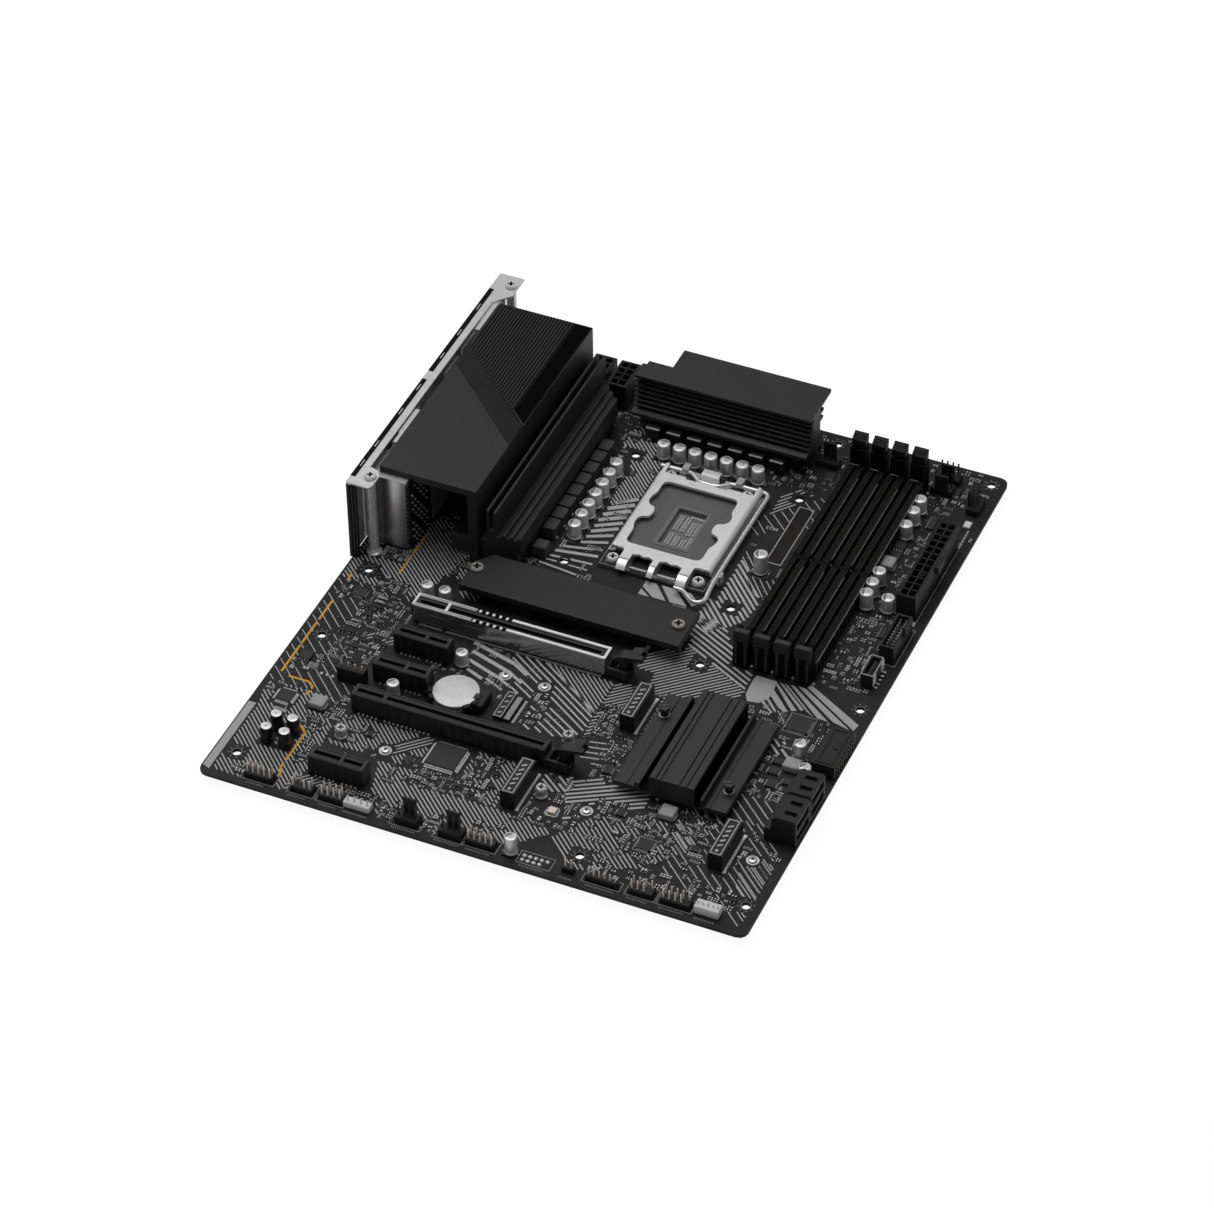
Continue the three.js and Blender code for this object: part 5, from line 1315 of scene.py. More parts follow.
# drive connectors: contact row, feet and a framed label without lettering
part = Mesh()
for x, y in ((123.4, 30.4), (149.8, 91.2), (214.8, 30.4)):
    for k in range(38):
        part.boxes([(6.9, 8.0, 0, 0.3, TOP, TOP + 0.45, 0.0, 0),
                    (0.9, 3.4, 0, 0.22, 6.5, 6.72, 0.0, 1)], x, y + 1.6 + k * 0.5)
    part.boxes([(6.85, 8.05, 0.6, 21.2, TOP, TOP + 0.6, 0.08, 0),
                (6.8, 8.3, -0.9, 0.7, TOP, TOP + 0.5, 0.1, 0),
                (6.8, 8.3, 21.2, 22.8, TOP, TOP + 0.5, 0.1, 0)], x, y)
    for k in range(6):
        part.box(x + 9.9, x + 10.5, y + 3.0 + 2.5 * k, y + 4.2 + 2.5 * k, TOP, TOP + 0.4, 0.0, 4)
    part.plate(rectangle(x + 0.7, x + 5.6, y + 0.5, y + 21.5),
               [rectangle(x + 1.15, x + 5.15, y + 0.95, y + 21.05)], 9.88, 9.96, 2)
    for k in range(5):
        part.strip((x + 2.2, y + 5.2 + 2.9 * k), (x + 4.1, y + 6.6 + 2.9 * k), 0.85,
                   9.88, 9.96, 2)
    part.lathe(x + 3.1, y + 2.6, [(0.75, 9.88), (0.75, 9.97)], 12, 3)
    reserve(x - 0.5, x + 8.4, y - 2, y + 24, 0.3)
put("drive_connector_details", part, "solder slot_contact print_grey print_grey ceramic_grey")
# wireless module connector
part = Mesh()
part.box(98.9, 103.0, 75.9, 92.1, TOP + 0.1, 3.9, 0.2, 0)
part.box(103.0, 106.4, 76.4, 91.6, TOP + 0.1, 2.8, 0.15, 0)
part.plate(rectangle(99.1, 102.8, 76.1, 91.9), [rectangle(99.45, 102.45, 76.5, 91.5)],
           3.88, 3.95, 2)
for k in range(4):
    part.strip((100.3, 78.2 + 3.5 * k), (101.7, 79.4 + 3.5 * k), 0.8, 3.88, 3.95, 2)
for k in range(30):
    part.boxes([(103.6, 106.0, 0, 0.22, 2.7, 2.95, 0, 1),
                (107.0, 108.2, 0, 0.24, TOP, TOP + 0.25, 0, 1)], y=77.0 + 0.48 * k)
reserve(98, 109, 75, 93)
put("wireless_connector", part, "moulded_black solder print_grey")


# ---------------------------------------------------------------- pin headers
def header(part, x0, x1, y0, y1, columns, rows, empty=(), top=8.6, base=4.1):
    """Base block with square pins, except at the empty (column, row) places."""
    part.box(x0, x1, y0, y1, TOP + 0.02, base, 0.25, 0)
    for i in range(columns):
        for j in range(rows):
            if (i, j) not in empty:
                x = x0 + (x1 - x0) * (i + 0.5) / columns
                y = y0 + (y1 - y0) * (j + 0.5) / rows
                part.box(x - 0.32, x + 0.32, y - 0.32, y + 0.32, base - 0.2, top, 0.12, 1)
    for i in range(1, columns):  # bars between the positions
        x = x0 + (x1 - x0) * i / columns
        part.box(x - 0.16, x + 0.16, y0 - 0.01, y0 + 0.4, TOP + 0.1, base - 0.1, 0.0, 0)
    reserve(x0, x1, y0, y1, 0.6)


part = Mesh()
header(part, 19.4, 32.2, 4.6, 9.6, 5, 2, [(3, 1)])
header(part, 40.4, 50.4, 4.6, 9.6, 4, 2, [(2, 1), (1, 0)])
header(part, 53.4, 64.2, 4.6, 9.6, 4, 2)
header(part, 119.4, 132.2, 4.6, 9.6, 5, 2, [(4, 1)])
header(part, 162.0, 167.2, 5.2, 7.8, 2, 1)
header(part, 172.4, 186.6, 4.6, 7.4, 6, 1, top=7.4)
header(part, 191.2, 201.8, 4.6, 9.6, 4, 2, [(3, 0)])
header(part, 205.0, 217.8, 4.6, 9.6, 5, 2, [(4, 0)])
put("pin_headers", part, "moulded_black pin_alloy")
part = Mesh()
header(part, 64.8, 76.6, 4.4, 8.4, 4, 1, top=7.0, base=4.6)
header(part, 219.8, 230.4, 4.6, 9.6, 5, 1, top=6.6, base=5.6)
put("light_headers", part, "moulded_white bare_pad")
part = Mesh()
for i in range(5):
    for j in range(2):
        if (i, j) != (4, 0):
            part.lathe(144.6 + 2.54 * i, 5.3 + 2.6 * j,
                       [(0.95, TOP), (0.8, TOP + 0.25), (0.35, TOP + 0.5)], 14)
reserve(142.4, 157.6, 3.4, 10.2)
for x in (21.0, 23.6, 26.2):
    part.lathe(x, 73.4, [(0.8, TOP), (0.7, TOP + 0.25), (0.3, TOP + 0.5)], 12)
put("open_header_pads", part, "bare_pad")

# fan headers: base, back wall and four pins, turned about the centre
FAN_WIDTH, FAN_DEPTH = 10.4, 5.6
part = Mesh()
for x, y, degrees in ((93.0, 7.2, 0), (112.6, 7.2, 0), (166.4, 283.6, 0), (219.4, 294.0, 180),
                      (219.4, 286.0, 180), (236.6, 280.6, 90)):
    w, d = FAN_WIDTH / 2, FAN_DEPTH / 2
    part.box(x - w, x + w, y - d, y + d, TOP + 0.02, 5.0, 0.25, 0, degrees, (x, y))
    part.box(x - w + 2.2, x + w - 2.2, y + d - 1.3, y + d, 4.8, 12.6, 0.2, 0, degrees, (x, y))
    for i in range(4):
        pin_x = x + (i - 1.5) * 2.54
        part.box(pin_x - 0.32, pin_x + 0.32, y - 0.9, y - 0.26, 4.8, 12.2, 0.12, 1,
                 degrees, (x, y))
    if degrees == 90:
        w, d = d, w
    reserve(x - w, x + w, y - d, y + d, 0.6)
put("fan_headers", part, "moulded_black blackened_steel")
part = Mesh()
header(part, 28.4, 41.2, 72.6, 77.0, 4, 1, top=11.0, base=8.6)
put("add_in_header", part, "moulded_black pin_alloy")
part = Mesh()
part.box(235.9, 239.0, 266.4, 270.4, TOP + 0.05, 2.9, 0.2, 0)
for k in range(9):
    part.box(238.6, 239.5, 252.6 + 1.5 * k, 253.3 + 1.5 * k, TOP, TOP + 0.3, 0.0, 1)
reserve(235, 240, 251, 271)
put("light_header_upper", part, "moulded_white bare_pad")

# ---------------------------------------------------------------- battery
CELL_X, CELL_Y = 80.0, 81.0
part = Mesh()
part.annulus(CELL_X, CELL_Y, 11.4, 10.3, 64, TOP + 0.3, 4.9)
part.plate(ring(CELL_X, CELL_Y, 11.2, 48), [], TOP + 0.3, 3.0)
part.box(88.4, 94.0, 76.2, 86.8, TOP + 0.3, 6.4, 0.4, 0)
part.box(66.4, 70.6, 77.0, 85.0, TOP + 0.3, 4.6, 0.3, 0)
part.prism([(88.6, 6.6), (90.6, 6.6), (92.2, 5.4), (92.6, 5.6), (90.8, 7.1), (88.6, 7.0)],
           79.6, 82.6, "y", 1)
for degrees in (200, 222, 318, 340):
    a = math.radians(degrees)
    x, y = CELL_X + 10.9 * math.cos(a), CELL_Y + 10.9 * math.sin(a)
    part.box(x - 1.5, x + 1.5, y - 1.1, y + 1.1, 3.0, 7.1, 0.35, 0, degrees - 90, (x, y))
put("battery_cradle", part, "moulded_black blackened_steel",
    replaces=["battery_holder"])
reserve(66, 94.5, 69, 93)
part = Mesh()
part.lathe(CELL_X, CELL_Y, [
    (8.6, 3.25), (8.8, 3.15), (9.6, 3.3), (10.0, 3.7), (10.0, 6.2), (9.8, 6.42), (9.4, 6.5),
    (8.9, 6.46), (8.7, 6.5), (4.0, 6.52), (0.5, 6.52)], 72)
put("cell_body", part, "cell_nickel", replaces=["coin_cell"])

# ---------------------------------------------------------------- small surface-mount parts
chips = {"chip_resistors": Mesh(), "chip_capacitors": Mesh(), "chip_capacitors_grey": Mesh()}
brackets, via_mesh = Mesh(), Mesh()


def two_ended(part, x, y, length, width, vertical, body, ends):
    """Chip part. body is end inset, side inset, z0, z1; ends is side inset, z0, z1."""
    cap = length * 0.24
    along, across = (y, x) if vertical else (x, y)
    low, high = along - length / 2, along + length / 2
    for a, b, inset, z0, z1, finish in ((low + body[0], high - body[0], *body[1:], 0),
                                        (low, low + cap, *ends, 1),
                                        (high - cap, high, *ends, 1)):
        side = (across - width / 2 + inset, across + width / 2 - inset)
        spans = (*side, a, b) if vertical else (a, b, *side)
        part.box(*spans, z0, z1, 0.0, finish)


# length, width, thickness
ROW_SIZES = ((1.0, 0.5, 0.35), (1.0, 0.5, 0.35), (1.0, 0.55, 0.4), (1.6, 0.8, 0.5),
             (1.6, 0.85, 0.7))
SINGLE_SIZES = ((1.0, 0.5, 0.35), (1.6, 0.8, 0.5), (2.0, 1.25, 0.9))


def cluster(x0, x1, y0, y1, count):
    """Rows of alike parts on a 0.5 mm grid, clear of everything placed so far."""
    left = count * 0.8
    tries = 0
    while left > 0 and tries < count * 6:
        tries += 1
        n = random_source.choice((1, 1, 2, 2, 3, 4, 5))
        length, width, thick = random_source.choice(ROW_SIZES if n > 1 else SINGLE_SIZES)
        pitch = width + random_source.choice((0.35, 0.45, 0.7))
        vertical = random_source.random() < 0.5
        row = (n - 1) * pitch + width
        size_x, size_y = (row, length) if vertical else (length, row)
        if x1 - x0 < size_x or y1 - y0 < size_y:
            continue
        x = round(random_source.uniform(x0, x1 - size_x) * 2) / 2
        y = round(random_source.uniform(y0, y1 - size_y) * 2) / 2
        if not is_free(x - 0.2, x + size_x + 0.2, y - 0.2, y + size_y + 0.2):
            continue
        if random_source.random() < 0.55:
            kind = "chip_resistors"
        elif random_source.random() < 0.5:
            kind = "chip_capacitors"
        else:
            kind = "chip_capacitors_grey"
        for k in range(n):
            across, along = width / 2 + k * pitch, length / 2
            dx, dy = (across, along) if vertical else (along, across)
            two_ended(chips[kind], x + dx, y + dy, length, width, vertical,
                      body=(length * 0.24 * 0.8, 0.02, TOP + 0.02, TOP + 0.02 + thick * 0.97),
                      ends=(0.0, TOP, TOP + 0.02 + thick))
        if random_source.random() < 0.4:  # printed bracket round the group
            gap = 0.32
            corners = rectangle(x - gap, x + size_x + gap, y - gap, y + size_y + gap)
            pair = (1, 3) if vertical else (0, 2)
            for i in range(4) if random_source.random() < 0.4 else pair:
                brackets.strip(corners[i], corners[(i + 1) % 4], 0.13)
        reserve(x, x + size_x, y, y + size_y, 0.3)
        left -= n


reserve(189.2, 240.8, 128.6, 148.0, 0)
CLUSTERS = [  # x0, x1, y0, y1, parts
    (17, 38, 84, 99, 60), (6, 18, 71, 79, 16), (15, 19, 76, 84, 6), (3, 10, 56, 63, 10),
    (34, 42, 58, 65, 10), (33, 42, 48, 58, 26), (24, 37, 37, 49, 26), (12, 19, 44, 50, 12),
    (33.5, 38, 20, 37, 20), (62, 77, 84, 100, 34), (12, 19, 5, 11, 12), (58, 82, 10, 16, 26),
    (16, 40, 100, 118, 60), (3, 10, 118, 134, 16), (5, 24, 150, 160, 60), (16, 32, 118, 140, 54),
    (28, 41, 112, 126, 34), (84, 98, 82, 100, 22), (102, 116, 28, 57, 60), (80, 101, 27, 38, 54),
    (131, 136, 24, 42, 18), (125, 134, 55, 61, 8), (136, 158, 26, 46, 50), (139, 158, 84, 104, 52),
    (149, 160, 58, 84, 46), (84, 88, 11, 16, 8), (99, 106, 4, 16, 20), (79, 86, 4, 12, 14),
    (118, 134, 11, 20, 10), (160, 184, 38, 51, 44), (176, 198, 22, 42, 60), (179, 186, 44, 60, 16),
    (192, 207, 44, 58, 26), (203, 213, 30, 43, 18), (223, 228, 38, 58, 16), (211, 231, 75, 102, 60),
    (166, 190, 8, 18, 30), (188, 207, 10, 20, 22), (212, 233, 10, 22, 50), (212, 240, 150, 172, 60),
    (212, 231, 172, 200, 66), (224, 240, 168, 200, 20), (212, 232, 104, 130, 40),
    (191, 213, 116, 129, 44), (208, 240, 276, 303, 60), (219, 229, 202, 284, 84),
    (152, 178, 262, 303, 74), (206, 211, 262, 300, 10), (147, 153, 258, 268, 12),
    (66, 77, 171, 184, 20), (62, 84, 276, 292, 46), (74, 84, 262, 277, 12), (94, 101, 168, 180, 8),
    (77, 82, 186, 262, 26), (86, 99, 186, 250, 22), (24, 40, 176, 190, 16), (7, 20, 178, 198, 22),
    (137, 150, 160, 180, 10), (44, 50, 150, 164, 8), (60, 84, 20, 36, 10), (40, 62, 36, 58, 14),
    (230, 242, 42, 56, 4), (104, 118, 76, 98, 24), (52, 62, 90, 96, 4), (68, 100, 108, 120, 22),
    (190, 212, 20, 30, 8), (156, 176, 18, 36, 6), (166, 178, 204, 262, 10), (153, 163, 216, 240, 6),
    (218, 230, 128, 150, 14), (232, 243, 200, 262, 8),
]
for row in CLUSTERS:
    cluster(*row)
VIA_AREAS = [  # x0, x1, y0, y1, tries
    (8, 20, 178, 198, 60), (28, 40, 178, 190, 26), (62, 84, 262, 292, 60), (84, 104, 26, 40, 50),
    (138, 160, 58, 104, 70), (176, 200, 22, 44, 50), (212, 240, 150, 200, 90),
    (152, 178, 262, 303, 60), (219, 229, 202, 284, 50), (2, 42, 60, 150, 110),
    (44, 130, 14, 58, 70), (160, 240, 8, 60, 100), (100, 136, 76, 118, 50),
    (78, 100, 186, 260, 60), (150, 178, 160, 214, 40), (208, 242, 262, 303, 40)]
for x0, x1, y0, y1, tries in VIA_AREAS:
    for _ in range(tries):
        x, y = random_source.uniform(x0, x1), random_source.uniform(y0, y1)
        if is_free(x - 0.4, x + 0.4, y - 0.4, y + 0.4):
            via_mesh.lathe(x, y, [(0.27, TOP), (0.24, TOP + 0.04)], 6)
THREE_LEG_AREAS = [  # x0, x1, y0, y1, devices
    (17, 38, 84, 99, 5), (16, 40, 100, 118, 5), (16, 32, 118, 140, 4), (102, 116, 28, 57, 5),
    (139, 158, 84, 104, 4), (211, 231, 75, 102, 4), (212, 240, 150, 172, 5),
    (208, 240, 276, 303, 5), (152, 178, 262, 303, 6), (192, 207, 44, 58, 3),
    (62, 84, 276, 292, 4), (212, 233, 10, 22, 4)]


def three_leg_device(part, x0, x1, y0, y1):
    for _ in range(30):
        x, y = random_source.uniform(x0, x1), random_source.uniform(y0, y1)
        if is_free(x - 1.6, x + 1.6, y - 1.4, y + 1.4):
            part.box(x - 1.3, x + 1.3, y - 0.65, y + 0.65, TOP + 0.1, TOP + 1.0, 0.12, 0)
            for dx, side in ((-0.85, -1), (0.85, -1), (0, 1)):
                part.box(x + dx - 0.2, x + dx + 0.2, *beside(y, side, 0.6, 1.2),
                         TOP, TOP + 0.3, 0.04, 1)
            reserve(x - 1.6, x + 1.6, y - 1.4, y + 1.4, 0)
            return


part = Mesh()
for *bounds, count in THREE_LEG_AREAS:
    for _ in range(count):
        three_leg_device(part, *bounds)
put("three_leg_devices", part, "package_epoxy solder")
for (name, mesh), body in zip(chips.items(), ("resistor_black", "ceramic_tan", "ceramic_grey")):
    put(name, mesh, body + " solder")
put("printed_brackets", brackets, "print_grey")
put("plated_vias", via_mesh, "ceramic_grey")

# ---------------------------------------------------------------- printed pattern
lines, fields = Mesh(), Mesh()


def crossings(polygon, c, s, offset):
    """Spans inside the polygon along the line of direction (c, s) at offset."""
    places = []
    for (ax, ay), (bx, by) in zip(polygon, polygon[1:] + polygon[:1]):
        start, end = ax * -s + ay * c - offset, bx * -s + by * c - offset
        if (start < 0) != (end < 0):
            t = start / (start - end)
            places.append((ax + (bx - ax) * t) * c + (ay + (by - ay) * t) * s)
    places.sort()
    return list(zip(places[::2], places[1::2]))


def cut_out(spans, start, end):
    rest = []
    for p, q in spans:
        if end <= p or start >= q:
            rest.append((p, q))
        else:
            if start > p:
                rest.append((p, start))
            if end < q:
                rest.append((end, q))
    return rest


def hatch(polygon, degrees, pitch, width, phase=0.0):
    """Parallel printed lines inside the polygon, broken where parts stand."""
    c, s = math.cos(math.radians(degrees)), math.sin(math.radians(degrees))
    offsets = [-x * s + y * c for x, y in polygon]
    k = math.ceil((min(offsets) - phase) / pitch)
    while phase + k * pitch < max(offsets):
        offset = phase + k * pitch
        k += 1
        spans = crossings(polygon, c, s, offset)
        if not spans:
            continue
        for x0, x1, y0, y1 in taken:
            distance = abs(-(x0 + x1) / 2 * s + (y0 + y1) / 2 * c - offset)
            if distance > math.hypot(x1 - x0, y1 - y0) / 2 + width:
                continue
            w = width / 2
            for gap in crossings(rectangle(x0 - w, x1 + w, y0 - w, y1 + w), c, s, offset):
                spans = cut_out(spans, *gap)
        for p, q in spans:
            p += random_source.uniform(0, 0.8)
            q -= random_source.uniform(0, 0.8)
            if q - p > 1.6:
                lines.strip((p * c - offset * s, p * s + offset * c),
                            (q * c - offset * s, q * s + offset * c), width)


HATCHES = [  # outline, direction in degrees, pitch, line width[, phase]
    ([(0.8, 62), (36, 62), (40, 70), (28, 84), (24, 96), (26, 112), (38, 132), (0.8, 132)],
     -43, 3.7, 0.42),
    ([(0.8, 132), (40, 132), (42, 150), (54, 150), (54, 156), (52, 180), (22, 184), (0.8, 160)],
     -42, 1.62, 0.62),
    ([(40, 168), (52, 156), (60, 166), (50, 182)], 45, 1.7, 0.6),
    ([(4.6, 3.5), (37, 3.5), (42, 18), (38, 62), (0.8, 62), (4.6, 47)], -43, 1.62, 0.58),
    ([(38, 58), (42, 36), (58, 36), (79, 57)], -43, 1.62, 0.58),
    ([(60, 36), (80, 56.5), (84, 56.5), (84, 52), (64, 36)], 44, 1.75, 0.6, 0.3),
    ([(66, 36), (84, 53), (84, 36)], -43, 1.62, 0.58, 0.5),
    ([(26, 96), (30, 108), (44, 108), (38, 96)], 44, 1.8, 0.6),
    ([(36, 4), (42, 17), (66, 17), (72, 12), (70, 4)], 44, 1.75, 0.6),
    ([(66, 35), (84, 35), (100, 28), (120, 28), (120, 58), (128, 58), (134, 30), (150, 24),
      (141, 15), (133, 4), (80, 4), (72, 14)], -42, 1.66, 0.62),
    ([(101, 28), (120, 28), (120, 57), (101, 57)], -42, 1.66, 0.6, 0.4),
    # chevrons beyond the second long slot
    ([(127, 60), (144.5, 46), (147, 52), (141, 60.5)], -37, 2.2, 1.05),
    ([(144.5, 46), (150, 32), (178, 51), (178, 62), (156, 62), (142, 58)], 30, 2.3, 1.1),
    ([(128, 46), (143, 37), (148, 42), (144, 48), (134, 57), (128, 57)], -37, 2.2, 0.9),
    ([(142, 59), (159, 66), (159, 84), (140, 80)], 12, 3.2, 0.7),
    ([(150, 22), (160, 38), (180, 50), (190, 58), (211, 58), (205, 36), (192, 20), (168, 8),
      (160, 12)], -42, 1.8, 0.6),
    ([(196, 60), (211, 60), (226, 62), (240, 50), (240, 4), (222, 10), (200, 20), (192, 36)],
     -42, 3.2, 0.5),
    ([(226, 42), (240, 42), (240, 10), (232, 12)], -42, 2.2, 0.5, 0.7),
    ([(211, 60), (227, 60), (228, 76), (211, 100)], -42, 3.4, 0.55),
    ([(211, 118), (222, 104), (226, 100), (211, 100)], -42, 2.6, 1.1),
    # chevrons round the second drive connector
    ([(96, 108), (137, 82), (137, 96), (106, 118), (88, 118), (92, 110)], -33, 2.5, 0.85),
    ([(104, 118), (137, 94), (137, 118)], -42, 1.68, 0.62),
    ([(137, 82), (159, 86), (159, 118), (137, 118)], 42, 1.72, 0.6),
    ([(104, 76), (133, 76), (137, 82), (100, 105), (96, 98)], -31, 2.9, 0.85),
    ([(141, 120), (141, 138), (157, 150), (189, 133), (189, 128), (172, 120), (160, 108),
      (150, 108)], 42, 1.74, 0.66),
    ([(152, 170), (152, 151), (189, 133), (190, 144), (178, 150), (171, 160), (166, 168)],
     -27, 2.5, 1.05),
    ([(152, 168), (160, 160), (172, 172), (174, 186), (168, 196), (152, 214)], -46, 2.2, 1.15),
    ([(155, 216), (152, 212), (170, 190), (176, 190), (176, 200)], -50, 2.5, 0.5),
]
for row in HATCHES:
    hatch(*row)
# five long diagonals beside the socket, each a hatch of one line
for (ax, ay), (bx, by) in (((150.0, 248.0), (166.8, 268.7)), ((150.8, 245.9), (167.6, 266.6)),
                           ((151.7, 243.9), (167.8, 264.2)), ((151.9, 241.5), (168.3, 262.0)),
                           ((152.6, 239.4), (168.0, 258.9))):
    length = math.hypot(bx - ax, by - ay)
    dx, dy = (bx - ax) / length, (by - ay) / length
    hatch([(ax + dy, ay - dx), (ax - dy, ay + dx), (bx - dy, by + dx), (bx + dy, by - dx)],
          math.degrees(math.atan2(dy, dx)), 50, 0.55, ay * dx - ax * dy)
SHORT_DIAGONALS = [  # x, y of each end
    (151.2, 231.5, 156.0, 227.5), (151.9, 236.7, 158.3, 229.7), (153.3, 240.9, 162.0, 233.1),
    (156.7, 243.0, 165.1, 235.0), (159.5, 246.0, 165.3, 240.6), (161.6, 249.3, 165.2, 246.2),
    (166.3, 256.2, 172.6, 250.3), (169.8, 258.3, 175.0, 253.2), (171.8, 261.0, 175.1, 258.7),
    (173.0, 247.0, 176.6, 243.8), (173.0, 241.0, 176.6, 237.8)]
for ax, ay, bx, by in SHORT_DIAGONALS:
    lines.strip((ax, ay), (bx, by), 0.42)
hatch([(76, 262), (80, 290), (100, 262), (100, 232), (90, 220), (86, 226), (86, 250)],
      -45, 1.55, 0.66)
hatch([(52, 140), (62, 140), (62, 150), (52, 150)], -43, 1.9, 0.5)
THICK_BARS = [  # x, y of each end, width
    # beside the short slot farthest along y
    (72, 116.2, 93, 110.6, 2.0), (93, 110.6, 101, 106.0, 1.6), (73.5, 111, 94, 104.6, 1.9),
    (94, 104.6, 101, 100.6, 1.4), (74.5, 105.4, 90, 100.2, 1.7), (75.5, 100.2, 84.5, 96.6, 1.6),
    (90, 100.2, 98, 96.4, 1.2), (86, 97.6, 95, 93.6, 1.2),
    # fan beside the socket
    (75.5, 174.6, 94, 172.6, 1.0), (77.5, 177.4, 97, 177.2, 0.8), (78, 180.2, 97.5, 181.6, 1.2),
    (79, 184, 97.8, 187.2, 1.7), (79.5, 187.4, 97.8, 191.8, 1.4), (87, 193.2, 98.2, 197.4, 1.6),
    (87.6, 197.4, 98.4, 202.6, 1.7), (88, 201.4, 98.6, 207.6, 2.0), (88, 205.4, 98.8, 211.8, 2.0),
    (88, 209.6, 98.8, 216.2, 2.2), (88.4, 213.8, 98.8, 220.6, 2.4),
    (88.6, 218.2, 98.8, 225.0, 2.4), (90.6, 223.4, 98.8, 229.2, 2.0)]
for ax, ay, bx, by, width in THICK_BARS:
    lines.strip((ax, ay), (bx, by), width)
SOCKET_BARS = [  # light bars on the low-y side of the socket
    [(123.2, 184.2), (123.2, 177.0), (130.0, 172.0), (136.0, 172.0), (126.0, 183.2)],
    [(123.2, 175.4), (123.2, 171.8), (128.4, 171.8)],
    [(128.0, 183.6), (138.0, 172.0), (146.0, 172.0), (133.6, 184.0)],
    [(136.2, 183.4), (147.6, 173.0), (149.6, 176.0), (141.6, 183.0)]]
LARGE_FIELD = [
    (189.4, 141.3), (189.9, 143.7), (199.0, 143.6), (199.9, 138.2), (200.2, 134.4),
    (199.0, 131.4), (197.0, 128.4), (192.0, 127.4), (189.8, 131.4)]
FIELD_BARS = [  # bars that leave the large field
    [(198.35, 135.85), (197.06, 141.06), (210.14, 128.14), (208.82, 127.22), (205.42, 129.02)],
    [(197.48, 143.38), (199.21, 143.1), (213.43, 130.02), (211.39, 129.09)],
    [(200.26, 143.47), (201.64, 143.32), (215.79, 131.77), (214.82, 130.74)],
    [(202.35, 143.56), (204.33, 142.92), (221.66, 128.65), (217.36, 131.37)],
    [(205.06, 143.88), (207.2, 143.57), (227.82, 128.86), (222.92, 129.19)],
    [(208.28, 144.33), (211.75, 144.17), (237.94, 127.65), (229.73, 129.46)],
    [(211.75, 147.42), (212.89, 147.32), (240.34, 131.88), (239.54, 127.89), (212.28, 145.09)],
    [(198.15, 132.55), (198.26, 134.16), (205.46, 126.86), (205.34, 125.54)],
    [(197.34, 129.65), (197.66, 130.95), (204.47, 125.16), (203.93, 124.53)],
    [(205.62, 127.32), (206.68, 126.88), (211.48, 121.48), (210.73, 121.42)]]
PORT_EDGE_STRIP = [(0.6, 4.6), (4.0, 3.2), (4.0, 46.2), (0.6, 46.2)]
for outline in SOCKET_BARS:
    fields.plate(outline)
fields.plate(LARGE_FIELD, z1=TOP + 0.055)
for outline in FIELD_BARS + [PORT_EDGE_STRIP]:
    fields.plate(outline)
PART_FRAMES = [  # x0, x1, y0, y1
    (18.2, 33.4, 3.6, 10.8), (39.2, 51.4, 3.6, 10.8), (52.4, 65.2, 3.6, 10.8),
    (118.2, 133.4, 3.6, 10.8), (142.6, 157.4, 3.4, 10.2), (171.2, 187.8, 3.6, 8.6),
    (190.0, 203.0, 3.6, 10.8), (203.8, 219.0, 3.6, 10.8), (105.4, 119.0, 3.2, 11.4),
    (86.0, 99.8, 3.2, 11.4), (232.2, 241.0, 171.2, 195.8), (227.8, 239.4, 200.8, 256.0),
    (212.0, 223.4, 116.8, 128.4), (183.0, 191.0, 28.2, 36.2)]
for row in PART_FRAMES:
    corners = rectangle(*row)
    for start, end in zip(corners, corners[1:] + corners[:1]):
        lines.strip(start, end, 0.18)
# short plain ticks beside the headers: x0, x1, y
for x0, x1, y in ((22, 30, 2.2), (41, 49, 2.2), (55, 63, 2.2), (66, 76, 2.2), (88, 98, 2.0),
                  (107, 118, 2.0), (121, 131, 2.2), (145, 155, 2.0), (162, 168, 2.2),
                  (174, 186, 2.2), (192, 201, 2.2), (206, 216, 2.2), (221, 230, 2.2)):
    for x in steps(x0, x1, 0.9):
        lines.strip((x, y - 0.4), (x, y + 0.4), 0.2)
# framed dark panel near the memory
DARK_PANEL = rectangle(165.8, 172.2, 212.8, 251.8)
lines.plate(rectangle(165.4, 172.6, 212.4, 252.2), [DARK_PANEL])
put("printed_lines", lines, "print_grey")
put("printed_fields", fields, "print_light")
part = Mesh()
part.plate(DARK_PANEL, z1=TOP + 0.03)
put("printed_dark_panel", part, "print_black")
part = Mesh()
for x, y in LEFT_CANS + REAR_CANS + [TALL_CAN]:
    radius = 4.0 if (x, y) == TALL_CAN else 3.55
    part.annulus(x, y, radius + 0.16, radius, 36, TOP, TOP + 0.03)
put("printed_part_outlines", part, "print_grey")
# orange line round the audio area: x, y of each end
ORANGE_LINE = [
    (4.8, 131, 4.8, 135.4), (4.8, 103.4, 4.8, 117), (4.8, 87.4, 4.8, 101.2),
    (4.8, 68, 4.8, 85.6), (8.8, 66.6, 18.4, 66.6), (18.4, 66.6, 20.6, 65.0),
    (20.6, 65.0, 21.6, 63.2), (21.4, 61.8, 20.8, 59.0), (21.2, 45.2, 20.6, 46.4),
    (27.8, 41.2, 31.0, 37.6), (31.0, 37.8, 31.0, 20.2), (31.0, 18.2, 31.0, 14.8),
    (31.0, 15.0, 32.4, 12.2), (32.4, 12.4, 32.4, 9.8), (23.4, 143.6, 23.4, 156.2),
    (23.4, 157.2, 23.4, 172.0)]
part = Mesh()
for ax, ay, bx, by in ORANGE_LINE:
    part.strip((ax, ay), (bx, by), 1.0, z1=TOP + 0.045)
put("printed_orange_line", part, "print_orange")

